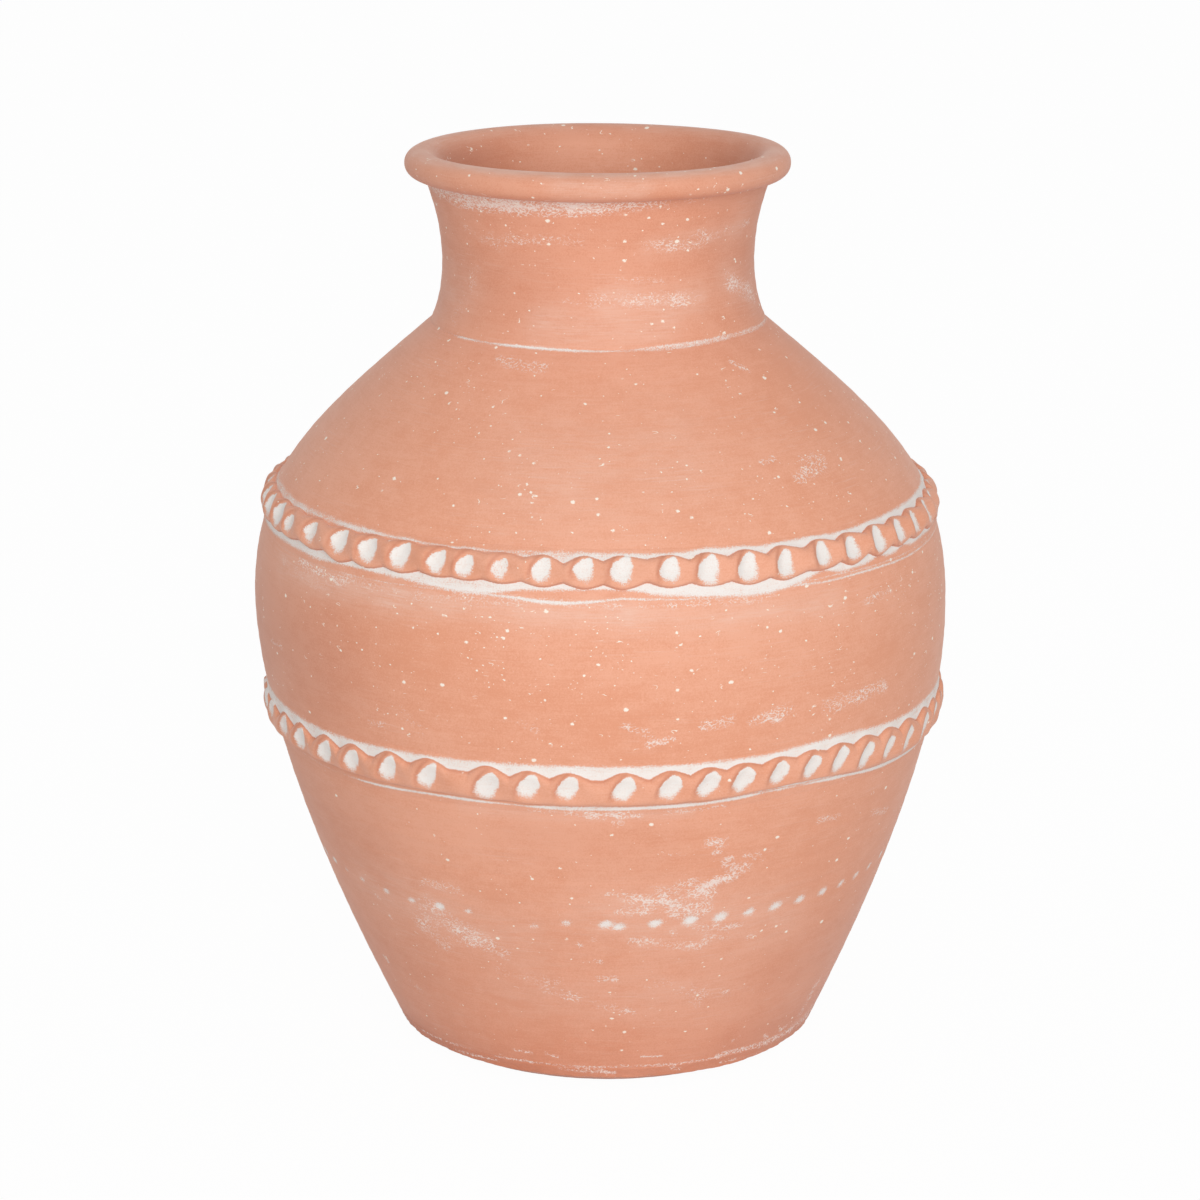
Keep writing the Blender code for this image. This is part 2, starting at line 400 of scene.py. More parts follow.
@dataclass(frozen=True)
class VaseForm:
    """The turned form of the vase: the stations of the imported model, and how a hand lets it drift."""

    foot: Station = Station(0.0100, 0.0890, 0.46)
    lower_seam: Station = Station(0.1420, 0.1357, 0.21)
    belly: Station = Station(0.1820, 0.1400, 0.0)
    upper_seam: Station = Station(0.2248, 0.1317, -0.42)
    shoulder_end: Station = Station(0.2938, 0.0669, -1.15)
    collar_start: Station = Station(0.2938, 0.0669, -0.45)
    waist: Station = Station(0.3183, 0.0620, 0.0)
    lip: Station = Station(0.3510, 0.0685, 0.40)
    top: float = 0.3620
    clay: float = 0.0085
    drift_heights: tuple[float, ...] = (0.0, 0.142, 0.182, 0.362)
    drift_across: tuple[float, ...] = (0.0029, 0.0012, 0.0, -0.0008)
    out_of_round: float = 0.18
    round_waves: tuple[tuple[float, float, float, float], ...] = (
        (1.0, 2.0, 3.6, 0.011), (0.6, 3.0, -1.2, 0.017),
    )  # fmt: skip
    ring_depth: float = 0.035
    ring_waves: tuple[tuple[float, float, float, float, float], ...] = (
        (1.0, 0.92, 0.0, 0.35, 0.0), (0.7, 1.47, 1.3, 0.0, 0.0), (0.8, 0.41, 0.0, 0.5, 0.8),
    )  # fmt: skip
    inner_share: float = 0.6
    inner_turn: float = 40.0
    # Painted shade by height: darker towards the foot and the neck.
    shade_heights: tuple[float, ...] = (0, 8.2, 9.2, 30, 90, 150, 240, 285, 300, 352, 354)
    shade_amounts: tuple[float, ...] = (0.46, 0.46, 0.3, 0.16, 0.05, 0, 0, 0.03, 0.2, 0.2, 0.05)
    # Painted shade inside the collar, seen round the vase.
    mouth_shade_points: Wander = around(
        (-180, 0), (-150, 0.22), (-127, 0.54), (-95, 0.6), (0, 0.3), (90, 0.42), (130, 0.34), (155, 0.12)
    )

    @property
    def body(self) -> WallCurve:
        """The outer wall from the foot to the end of the shoulder."""
        return WallCurve((self.foot, self.lower_seam, self.belly, self.upper_seam, self.shoulder_end))

    @property
    def neck(self) -> WallCurve:
        """The outer wall of the collar."""
        return WallCurve((self.collar_start, self.waist, self.lip))

    @property
    def crook_in(self) -> Station:
        """The inner ring that faces the crook between shoulder and collar."""
        return self.shoulder_end.inward(self.clay, (self.shoulder_end.lean + self.collar_start.lean) / 2.0)

    @property
    def body_inside(self) -> WallCurve:
        """The inner wall from the foot to the end of the shoulder."""
        return WallCurve(
            (
                self.foot.level(self.clay),
                self.lower_seam.inward(self.clay, self.lower_seam.lean),
                self.belly.inward(self.clay, 0.0),
                self.upper_seam.inward(self.clay, self.upper_seam.lean),
                self.crook_in,
            )
        )

    @property
    def neck_inside(self) -> WallCurve:
        """The inner wall of the collar."""
        return WallCurve((self.crook_in, self.waist.inward(self.clay, 0.0), self.lip.level(self.clay)))

    def wobble(self, degrees: Array, heights: Array) -> Array:
        """How far a hand-turned wall strays from a true one: a little out of round, with turning rings.

        Args:
            degrees: Angles of the points.
            heights: Heights of the points, in metres.

        Returns:
            Offsets of the radius in metres.
        """
        turn = np.radians(degrees)
        up = heights / MM
        out_of_true = sum(
            share * np.cos(count * turn + phase + up * climb)
            for share, count, phase, climb in self.round_waves
        )
        rings = sum(
            share * np.sin(up * pace + phase + tip * np.sin(turn + side))
            for share, pace, phase, tip, side in self.ring_waves
        )
        return (self.out_of_round * out_of_true + self.ring_depth * rings) * MM

    def inner_wobble(self, degrees: Array, heights: Array) -> Array:
        """The same for the inner wall, which strays less and not in step with the outer one."""
        return self.inner_share * self.wobble(degrees + self.inner_turn, heights)

    def mouth_shade(self, degrees: Array) -> Array:
        """How much painted shade darkens the inside of the collar, seen round the vase."""
        return self.mouth_shade_points.at(degrees)

    def height_shade(self, heights: Array) -> Array:
        """How much painted shade darkens the clay near the foot and the neck.

        Args:
            heights: Heights of the points, in millimetres.

        Returns:
            Amounts from 0 to 1.
        """
        return np.interp(heights, self.shade_heights, self.shade_amounts)

    def place(self, degrees: Array, radii: Array, heights: Array) -> Array:
        """Points in space, with the drift of the vase's centre line.

        Args:
            degrees: Angles of the points.
            radii: Radii of the points, in metres.
            heights: Heights of the points, in metres.

        Returns:
            An array of points with x, y and z last.
        """
        turn = np.radians(degrees)
        drift = np.interp(heights, self.drift_heights, self.drift_across)
        return np.stack(
            [radii * np.sin(turn) + drift, -radii * np.cos(turn), heights + 0.0 * radii], axis=-1
        )


@dataclass
class Skin:
    """Rows of points round the vase, as columns of angles, with what lies on the clay and its painted shade.
    """

    radii: Array
    heights: Array
    veils: dict[Veil, Array] = field(default_factory=dict)

    def filled(self) -> "Skin":
        """This skin with every missing veil set to none."""
        for veil in Veil:
            self.veils.setdefault(veil, np.zeros_like(self.radii))
        return self

    @staticmethod
    def stack(skins: Sequence["Skin"]) -> "Skin":
        """One skin of several, row after row.

        Args:
            skins: Skins with the same columns.

        Returns:
            The joined skin.
        """
        parts = [skin.filled() for skin in skins]
        return Skin(
            np.concatenate([part.radii for part in parts]),
            np.concatenate([part.heights for part in parts]),
            {veil: np.concatenate([part.veils[veil] for part in parts]) for veil in Veil},
        )


def columns(count: int) -> Array:
    """The angles of the columns of a skin, starting at the back, as one row of degrees."""
    return (-180.0 + 360.0 * np.arange(count) / count)[None, :]


def spaced(start: float, *runs: tuple[float, float]) -> Array:
    """Heights in millimetres along runs that follow on from each other, without doubles.

    Args:
        start: Where the first run starts.
        *runs: Where each run ends, and the step to come near to along it.

    Returns:
        The heights, in the order of the runs.
    """
    heights: list[float] = []
    for stop, step in runs:
        count = max(1, round(abs(stop - start) / step))
        heights.extend(start + (stop - start) * index / count for index in range(count))
        start = stop
    return np.array([*heights, start])


def closed_faces(rows: int, count: int, poles: bool) -> tuple[Array, Array]:
    """The faces of a closed skin.

    Args:
        rows: How many rows it has.
        count: How many columns.
        poles: Whether it closes with a fan at each end, round two more points, not row on row.

    Returns:
        The corners of the four-sided faces and of the three-sided ones.
    """
    index = np.arange(rows * count).reshape(rows, count)
    after = np.roll(index, -1, axis=1)
    if not poles:
        lower, lower_after = np.roll(index, -1, axis=0), np.roll(after, -1, axis=0)
        quads = np.stack([index, lower, lower_after, after], axis=-1)
        return quads.reshape(-1, 4), np.zeros((0, 3), dtype=int)
    quads = np.stack([index[:-1], index[1:], after[1:], after[:-1]], axis=-1)
    first, last = np.full(count, rows * count), np.full(count, rows * count + 1)
    top = np.stack([first, index[0], after[0]], axis=-1)
    bottom = np.stack([last, after[-1], index[-1]], axis=-1)
    return quads.reshape(-1, 4), np.concatenate([top, bottom])


def show(name: str, data: bpy.types.ID) -> bpy.types.Object:
    """Put an object into the scene.

    Args:
        name: Its name.
        data: Its mesh, lamp or camera.

    Returns:
        The object.
    """
    shown = bpy.data.objects.new(name, data)
    bpy.context.scene.collection.objects.link(shown)
    return shown


def make_piece(
    name: str, skin: Skin, degrees: Array, form: VaseForm, poles: bool = False
) -> bpy.types.Object:
    """Build one closed mesh from a skin whose rows run round its section.

    Args:
        name: The piece's name.
        skin: Its rows, down the outer side and back up the inner one.
        degrees: The angles of its columns.
        form: The form that places the points.
        poles: Whether the section starts and ends on the axis, as a disc's does.

    Returns:
        The new object, with one float attribute for each veil.
    """
    rows, count = skin.radii.shape
    points = form.place(degrees, skin.radii, skin.heights).reshape(-1, 3)
    quads, fans = closed_faces(rows, count, poles)
    if poles:
        ends = form.place(np.zeros(2), np.zeros(2), skin.heights[[0, -1], 0])
        points = np.concatenate([points, ends])
    loops = np.concatenate([quads.ravel(), fans.ravel()])
    starts = np.concatenate([np.arange(len(quads)) * 4, 4 * len(quads) + np.arange(len(fans)) * 3])

    mesh = bpy.data.meshes.new(name)
    mesh.vertices.add(len(points))
    mesh.vertices.foreach_set("co", points.astype(np.float32).ravel())
    mesh.loops.add(len(loops))
    mesh.loops.foreach_set("vertex_index", loops.astype(np.int32))
    mesh.polygons.add(len(starts))
    mesh.polygons.foreach_set("loop_start", starts.astype(np.int32))
    mesh.polygons.foreach_set("use_smooth", np.ones(len(starts), dtype=bool))
    mesh.update(calc_edges=True)
    mesh.validate()
    mesh.set_sharp_from_angle(angle=SHARP_ANGLE)
    for veil, amounts in skin.filled().veils.items():
        values = np.concatenate([amounts.ravel(), np.zeros(len(points) - rows * count)])
        attribute = mesh.attributes.new(veil.value, "FLOAT", "POINT")
        attribute.data.foreach_set("value", values.astype(np.float32))
    return show(name, mesh)


@dataclass(frozen=True)
class ClayMarks:
    """Everything drawn, packed or smeared on the wall, and its painted shade, wherever it crosses a piece."""

    form: VaseForm
    bands: tuple[Band, ...]
    rubbed: Band
    scribes: tuple[Scribe, ...]
    dots: DotRing
    strokes: tuple[Stroke, ...]
    hazes: tuple[Stroke, ...]
    shade_strokes: tuple[Stroke, ...]

    def skin(self, curve: WallCurve, degrees: Array, heights: Array) -> Skin:
        """The outer skin of a stretch of wall.

        Args:
            curve: The wall's curve.
            degrees: The angles of the columns.
            heights: The heights of the rows, in millimetres, from the top down.

        Returns:
            The skin, with its marks cut in and its veils filled.
        """
        up = heights[:, None]
        radii = curve.radius(up * MM) + self.form.wobble(degrees, up * MM)
        veils, cut = self.veils(degrees, up, radii / MM)
        lean = curve.lean(up * MM)
        return Skin(radii - cut * MM / np.hypot(1.0, lean), up * MM + 0.0 * radii, veils)

    def veils(self, degrees: Array, heights: Array, radii: Array) -> tuple[dict[Veil, Array], Array]:
        """What lies on the wall, its painted shade, and how deep it is cut.

        Args:
            degrees: Angles of the points.
            heights: Heights of the points, in millimetres.
            radii: Radii of the points, in millimetres.

        Returns:
            The veils, and the depth in millimetres.
        """
        slip, cut = self.dots.measure(degrees, heights, radii)
        for band in self.bands:
            slip = np.maximum(slip, band.slip(degrees, heights))
        for scribe in self.scribes:
            line, depth = scribe.measure(degrees, heights)
            slip = np.maximum(slip, line)
            cut = np.maximum(cut, depth)
        # The shade veil is painted shade: darker towards the foot and the neck, and in broad patches.
        veils = {
            Veil.SLIP: slip,
            Veil.DUST: self.rubbed.slip(degrees, heights),
            Veil.HAZE: np.zeros_like(slip),
            Veil.SHADE: self.form.height_shade(heights) + 0.0 * slip,
        }
        for veil, strokes in (
            (Veil.DUST, self.strokes),
            (Veil.HAZE, self.hazes),
            (Veil.SHADE, self.shade_strokes),
        ):
            for stroke in strokes:
                bare = (1.0 - veils[veil]) * (1.0 - stroke.amount(degrees, heights, radii))
                veils[veil] = 1.0 - bare
        return veils, cut


def settle(piece: bpy.types.Object, node: str, material: bpy.types.Material) -> None:
    """Give a piece its material, let it ride on the vase, and put it in place of its solid.

    Args:
        piece: The object.
        node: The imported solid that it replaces.
        material: The material.
    """
    piece.data.materials.append(material)
    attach(piece, "root")
    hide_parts(node)


@dataclass
class ClayPiece:
    """A formed piece of clay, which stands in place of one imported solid."""

    slot: ClassVar[Slot] = Slot.BODY
    node: str

    @property
    def name(self) -> str:
        """The piece's name, after its solid's."""
        return self.node + "_clay"

    def build(self, form: VaseForm, marks: ClayMarks) -> bpy.types.Object:
        """Build the piece, each kind in its own way."""
        raise NotImplementedError(self.node)

    def dress(self, piece: bpy.types.Object, finishes: dict[Slot, bpy.types.Material]) -> None:
        """Give the piece the finish of its slot and put it in place of its solid."""
        settle(piece, self.node, finishes[self.slot])


@dataclass
class WallSection(ClayPiece):
    """A turned wall between two seams, outer and inner side in one closed piece."""

    curve: WallCurve
    inside: WallCurve
    heights: Array
    inner_heights: Array
    column_count: int = 640

    def build(self, form: VaseForm, marks: ClayMarks) -> bpy.types.Object:
        """Build the wall.

        Args:
            form: The form of the vase.
            marks: What is drawn and smeared on it.

        Returns:
            The wall's object.
        """
        degrees = columns(self.column_count)
        outer = marks.skin(self.curve, degrees, self.heights)
        up = self.inner_heights[:, None] * MM
        radii = self.inside.radius(up) + form.inner_wobble(degrees, up)
        # The inner wall carries the painted shade of the mouth.
        inner = Skin(radii, up + 0.0 * radii, {Veil.SHADE: form.mouth_shade(degrees) + 0.0 * radii})
        return make_piece(self.name, Skin.stack([outer, inner]), degrees, form)


@dataclass(frozen=True)
class Press:
    """One fingertip press on a cordon: its angle, how big it is and how full of slip."""

    angle: float
    size: float = 1.0
    full: float = 1.0


@dataclass
class Cordon(ClayPiece):
    """A clay coil round a seam, pressed all round with a fingertip, with slip along its edges.

    Edges, hollows and patches are millimetres: heights from the seam, and depths from the clay's surface.
    The shade is painted shade along its creases and underside and on its hollows' steep sides.
    Its widths are degrees round the coil's section.
    """

    slot: ClassVar[Slot] = Slot.CORDON
    seam: Station
    front: tuple[Press, ...]
    press_top: float
    dip_top: Wander
    press_bottom: Wander
    dip_bottom: Wander
    crown: float
    sag: float
    hollow_depth: float
    hollow_across: tuple[float, float]
    hollow_along: float
    patch_across: tuple[float, float]
    patch_along: Wander
    patch_width: Wander
    patch_lean: Wander
    ragged_turn: float
    patch_power: float
    taper: Wander
    tilt: Wander
    skew: Wander
    offset: Wander
    lift: Wander
    middle: Wander
    crease: Wander
    skirt_top: float
    skirt_bottom: float
    under_shade: float
    under_width: float
    arch: float
    pitch: float
    seed: int
    fillet: float = 0.8
    least_proud: float = 0.3
    skirt_sink: float = 0.3
    seat_depth: float = 0.7
    swell_shares: tuple[float, float] = (0.58, 0.42)
    swell_powers: tuple[float, float] = (2.1, 0.85)
    swell_join: float = 5.0
    swell_most: float = 1.15
    skew_gains: tuple[float, float] = (-0.34, 0.22)
    hollow_reach: float = 14.0
    bowl_power: float = 2.6
    bowl_rim: tuple[float, float] = (1.1, 0.22)
    bowl_shade: float = 0.55
    fringe_waves: tuple[float, ...] = (3.0, 5.0, 8.0)
    crease_width: float = 9.0
    coil_rows: int = 27
    upper_rows: int = 10
    lower_rows: int = 16
    column_count: int = 1640

    @property
    def arc(self) -> float:
        """Millimetres along the seam for each degree."""
        return math.radians(1.0) * self.seam.radius / MM

    def presses(self) -> list[Press]:
        """Every press round the cordon, the unseen ones at an even pitch with a little wander."""
        rng = np.random.default_rng(self.seed)
        presses = list(self.front)
        for even in unseen_angles(self.front[0].angle, self.front[-1].angle, self.pitch):
            angle = even + rng.normal(0.0, 0.45)
            presses.append(Press(angle, 1.0 + rng.normal(0.0, 0.06), 1.0 - 0.2 * rng.random()))
        return presses

    def swell(self, degrees: Array) -> Array:
        """How far the coil spreads under each press, in round swells with soft dips between."""
        total = np.zeros_like(degrees)
        left, right = (1.0 + gain * self.skew.at(degrees) for gain in self.skew_gains)
        for press in self.presses():
            across = turn_between(degrees, press.angle) * self.arc
            width = self.arch * np.where(across < 0.0, left, right)
            share = np.clip(np.abs(across / width), 0.0, 1.0)
            dome = (1.0 - share ** self.swell_powers[0]) ** self.swell_powers[1]
            hill = np.cos(0.5 * math.pi * share) ** 2
            rise = self.swell_shares[0] * dome + self.swell_shares[1] * hill
            total = total + (press.size * rise) ** self.swell_join
        return np.minimum(total ** (1.0 / self.swell_join), self.swell_most)

    def from_press(
        self, press: Press, degrees: Array, rises: Array, stretch: Array
    ) -> tuple[Array, Array]:
        """Where each point lies from the middle of a press.

        Args:
            press: The press.
            degrees: Angles of the points.
            rises: Heights of the points above the seam, in millimetres.
            stretch: How much wider and longer this press is than most.

        Returns:
            How far across the slanting press and how far up along it, in millimetres of a plain one.
        """
        across = turn_between(degrees, press.angle) * self.arc + 0.0 * rises
        up = rises - self.middle.value(press.angle) - self.offset.value(press.angle)
        tilt = math.radians(self.tilt.value(press.angle))
        over = (across * math.cos(tilt) - up * math.sin(tilt)) / (press.size * stretch[0])
        along = (up * math.cos(tilt) + across * math.sin(tilt)) / (press.size * stretch[1])
        return over, along

    def bowl(self, press: Press, over: Array, along: Array) -> tuple[Array, Array]:
        """The hollow that a press leaves.

        Args:
            press: The press.
            over: How far across it each point lies.
            along: How far up along it.

        Returns:
            The depth in millimetres, and the shade on the steep left side from 0 to 1.
        """
        side = np.where(over < 0.0, *self.hollow_across)
        reach = np.hypot(over / side, along / self.hollow_along)
        depth = self.hollow_depth * press.size * np.exp(-(reach**self.bowl_power))
        rim, rim_width = self.bowl_rim
        steep = bell(reach - rim, rim_width) * np.clip(-over / self.hollow_across[0], 0.0, 1.0)
        return depth, self.bowl_shade * steep

    def patch(self, press: Press, over: Array, along: Array, phases: Array) -> Array:
        """The slip left in a press, smooth where the brush went in and ragged where it came out.

        Args:
            press: The press.
            over: How far across it each point lies.
            along: How far up along it.
            phases: The phases of the waves in its edge, in radians.

        Returns:
            Slip from 0 to 1.
        """
        length = self.patch_along.value(press.angle)
        lean = self.patch_lean.value(press.angle)
        narrowing = 1.0 - self.taper.value(press.angle) * np.clip(along / length, -1.0, 1.0)
        left = self.patch_across[0] * (1.0 - 0.5 * lean)
        right = self.patch_across[1] * (1.0 + lean)
        side = np.where(over < 0.0, left, right) * (self.patch_width.value(press.angle) * narrowing)
        power = self.patch_power
        reach = (np.abs(over / side) ** power + np.abs(along / length) ** power) ** (1.0 / power)
        turn = np.arctan2(along, over)
        ragged = np.clip(0.30 + 0.70 * np.cos(turn + self.ragged_turn), 0.0, 1.0)
        fringe = sum(np.sin(turn * waves + phase) for waves, phase in zip(self.fringe_waves, phases))
        inside = (1.0 - reach) * 4.0 + 0.11 * fringe + 0.05
        return edge(inside, 0.35 + 1.25 * ragged) * press.full

    def hollows(self, degrees: Array, rises: Array) -> tuple[Array, Array, Array]:
        """The depth of the hollows, the slip in them and the shade on their steep side.

        Args:
            degrees: Angles of the points.
            rises: Heights of the points above the seam, in millimetres.

        Returns:
            The depth in millimetres, the slip from 0 to 1, and the shade from 0 to 1.
        """
        depth, slip, shade = (np.zeros(rises.shape) for _ in range(3))
        rng = np.random.default_rng(self.seed + 1)
        for press in self.presses():
            phases = rng.uniform(0.0, 2.0 * math.pi, len(self.fringe_waves))
            stretch = rng.normal(1.0, 0.03, 2)
            near = np.abs(turn_between(degrees[0], press.angle)) * self.arc < self.hollow_reach
            over, along = self.from_press(press, degrees[:, near], rises[:, near], stretch)
            found = (*self.bowl(press, over, along), self.patch(press, over, along, phases))
            for total, amounts in zip((depth, shade, slip), found):
                total[:, near] = np.maximum(total[:, near], amounts)
        return depth, slip, shade

    def coil(self, degrees: Array, top: Array, bottom: Array) -> tuple[Array, Array, Array, Array]:
        """The round face of the coil, from its upper edge to its lower one.

        Args:
            degrees: The angles of the columns.
            top: The upper edge's height above the seam, in millimetres.
            bottom: The lower edge's.

        Returns:
            How high and how proud each point stands in millimetres, and its slip and shade from 0 to 1.
        """
        turn_degrees = np.linspace(90.0, -90.0, self.coil_rows)[:, None]
        turn = np.radians(turn_degrees)
        out = np.clip(np.cos(turn), 0.0, 1.0) ** 0.78
        round_over = eased(np.sin(turn), 0.95)
        rise = (top + bottom) / 2.0 + (top - bottom) / 2.0 * round_over - self.sag * out
        depth, slip, shade = self.hollows(degrees, rise)
        proud = self.fillet + (self.crown - self.fillet) * out - depth * out
        # Painted shade along the coil's upper crease and its underside.
        upper = self.crease.at(degrees) * bell(90.0 - turn_degrees, self.crease_width)
        under = self.under_shade * bell(turn_degrees + 90.0, self.under_width)
        shade = np.maximum(shade, np.maximum(upper, under))
        return rise, np.maximum(proud, self.least_proud), slip, shade

    def skirt(self, rows: int, start: Array, end: Array) -> tuple[Array, Array]:
        """The clay smoothed from an edge of the coil onto the wall, which it sinks into at its end.

        Args:
            rows: How many rows it has.
            start: The edge's height above the seam, in millimetres.
            end: Its end's height.

        Returns:
            How high and how proud each point stands, in millimetres.
        """
        share = np.linspace(0.0, 1.0, rows)[:, None]
        sink = self.skirt_sink * np.clip((share - 0.72) / 0.28, 0.0, 1.0)
        return start + (end - start) * share, self.fillet * (1.0 - share) ** 1.7 - sink + 0.0 * start

    def build(self, form: VaseForm, marks: ClayMarks) -> bpy.types.Object:
        """Build the cordon.

        Args:
            form: The form of the vase.
            marks: What is drawn and smeared on it.

        Returns:
            The cordon's object.
        """
        degrees = columns(self.column_count)
        swell = self.swell(degrees)
        offset, lift = self.offset.at(degrees), self.lift.at(degrees)
        dip_top, dip_bottom = self.dip_top.at(degrees), self.dip_bottom.at(degrees)
        top = offset + dip_top + (self.press_top - dip_top) * swell
        bottom = offset + lift + dip_bottom + (self.press_bottom.at(degrees) - dip_bottom) * swell
        coil_rise, coil_proud, coil_slip, coil_shade = self.coil(degrees, top, bottom)
        upper_rise, upper_proud = self.skirt(self.upper_rows, top, offset + self.skirt_top)
        lower_rise, lower_proud = self.skirt(self.lower_rows, bottom, offset + self.skirt_bottom)
        seat_share = np.array([0.2, 0.5, 0.8])[:, None]
        seat_rise = lower_rise[-1:] + (upper_rise[-1:] - lower_rise[-1:]) * seat_share
        seat_proud = np.full_like(seat_rise, -self.seat_depth)

        rise = np.concatenate([upper_rise[:0:-1], coil_rise, lower_rise[1:], seat_rise])
        proud = np.concatenate([upper_proud[:0:-1], coil_proud, lower_proud[1:], seat_proud])
        up = self.seam.height + rise * MM
        lean = form.body.lean(up)
        slant = np.hypot(1.0, lean)
        radii = form.body.radius(up) + form.wobble(degrees, up) + proud * MM / slant
        heights = up - proud * MM * lean / slant

        veils, _ = marks.veils(degrees, up / MM, radii / MM)
        slip, shade = veils[Veil.SLIP], veils[Veil.SHADE]
        first = self.upper_rows - 1
        last = first + self.coil_rows
        end = last + self.lower_rows - 1
        near_top = bell(rise[:first] - top, 1.6)
        near_bottom = bell(rise[last:end] - bottom, 1.2)
        slip[:first] = np.minimum(slip[:first] * (1.0 + 0.35 * near_top), 1.0)
        slip[last:end] = np.minimum(slip[last:end] * (1.0 + 0.2 * near_bottom), 1.0)
        # Painted shade under the coil's lower edge.
        shade[last:end] = np.maximum(shade[last:end], self.under_shade * 0.8 * near_bottom**2)
        slip[first:last], shade[first:last] = coil_slip, coil_shade
        veils[Veil.DUST][first:last] *= 0.3
        return make_piece(self.name, Skin(radii, heights, veils), degrees, form)


@dataclass
class RimRoll(ClayPiece):
    """The rolled rim: round outside, a flattish dusty top, and an eased mouth.
    The roll carries painted shade, darkest underneath and at the back, and its top's dust is partly painted
    light.

    Lengths are metres, apart from the waves round it, which are millimetres.
    """

    slot: ClassVar[Slot] = Slot.RIM
    node: str = "rim_roll"
    overhang: float = 0.0078
    roll_reach: float = 0.0065
    mouth_ease: float = 0.0052
    seam_gap: float = 0.0002
    tuck: float = -98.0
    swells: tuple[Wave, ...] = ((0.22, 2, 0.5), (0.16, 5, 2), (0.08, 9, 0))
    lifts: tuple[Wave, ...] = ((0.14, 3, 1),)
    settled: float = 0.2
    top_dust_and_light: float = 0.46
    crease_shade: float = 0.55
    roll_rows: int = 34
    mouth_rows: int = 24
    column_count: int = 720

    def section(self, form: VaseForm, roll: float, middle: float) -> tuple[Array, Array]:
        """The rim's section before the hand's drift.

        Args:
            form: The form of the vase.
            roll: The radius that the roll is turned about.
            middle: The height that it is turned about.

        Returns:
            Radii and heights, down the roll, in over the seam and up the mouth.
        """
        lip_in = form.lip.level(form.clay)
        rise = form.top - form.lip.height
        turn = np.radians(np.linspace(90.0, self.tuck, self.roll_rows))[:, None]
        roll_radii = roll + self.roll_reach * eased(np.cos(turn), 0.9)
        roll_heights = middle + rise / 2.0 * eased(np.sin(turn), 0.95)
        seam_share = np.linspace(0.0, 1.0, 4)[1:, None]
        seam_radii = roll_radii[-1:] + (lip_in.radius - roll_radii[-1:]) * seam_share
        seam_heights = form.lip.height - self.seam_gap + 0.0 * seam_share
        knee = lip_in.radius + lip_in.lean * (form.top - lip_in.height)
        share = np.linspace(0.0, 1.0, self.mouth_rows)[1:-1, None]
        mouth_radii = (1.0 - share) ** 2 * lip_in.radius + 2.0 * share * (1.0 - share) * knee
        mouth_radii = mouth_radii + share**2 * (knee + self.mouth_ease)
        mouth_heights = form.lip.height + rise * (2.0 * share - share**2)
        radii = np.concatenate([roll_radii, seam_radii, mouth_radii])
        return radii, np.concatenate([roll_heights, seam_heights, mouth_heights])

    def build(self, form: VaseForm, marks: ClayMarks) -> bpy.types.Object:
        """Build the rim.

        Args:
            form: The form of the vase.
            marks: What is drawn and smeared on it.

        Returns:
            The rim's object.
        """
        degrees = columns(self.column_count)
        turn = np.radians(degrees)
        mouth = form.lip.level(form.clay).radius
        half = (form.top - form.lip.height) / 2.0
        middle = form.lip.height + half
        roll = form.lip.radius + self.overhang - self.roll_reach
        true_radii, true_heights = self.section(form, roll, middle)
        away = np.clip((true_radii - mouth) / (roll + self.roll_reach - mouth), 0.0, 1.0)
        radii = true_radii + ripple(turn, self.swells) * MM * away
        radii = radii + form.inner_wobble(degrees, true_heights) * (1.0 - away)
        upward = np.clip((true_heights - middle) / half, 0.0, 1.0)
        heights = true_heights + (ripple(turn, self.lifts) - self.settled) * MM * upward

        veils, _ = marks.veils(degrees, heights / MM, radii / MM)
        # The top's pale dust is partly painted light: strongest on the upward face and towards the front.
        facing_up = np.clip(upward * 1.5 - 0.35, 0.0, 1.0)
        facing_up = facing_up * np.clip(1.0 - (true_radii - roll - 0.004) / 0.002, 0.0, 1.0)
        haze = self.top_dust_and_light * facing_up * (0.75 + 0.25 * np.cos(turn))
        veils[Veil.HAZE] = np.maximum(veils[Veil.HAZE], haze)
        veils[Veil.SLIP] *= 0.0
        veils[Veil.DUST] *= heights > form.lip.height + 0.003
        # Painted shade: the roll darker, more so at the back and underneath, and the mouth's inside as the
        # collar's.
        underneath = np.clip((middle - true_heights) / half, 0.0, 1.0) * (true_radii > mouth + 0.001)
        deep = np.clip((form.top - 0.0015 - true_heights) / 0.006, 0.0, 1.0)
        deep = deep * (true_radii < mouth + 0.0075)
        behind = 0.5 - 0.5 * np.cos(turn)
        outside = np.maximum(
            veils[Veil.SHADE] + 0.14 + 0.16 * behind, self.crease_shade * underneath**3
        )
        veils[Veil.SHADE] = outside * (1.0 - deep) + form.mouth_shade(degrees) * deep
        return make_piece(self.name, Skin(radii, heights, veils), degrees, form)


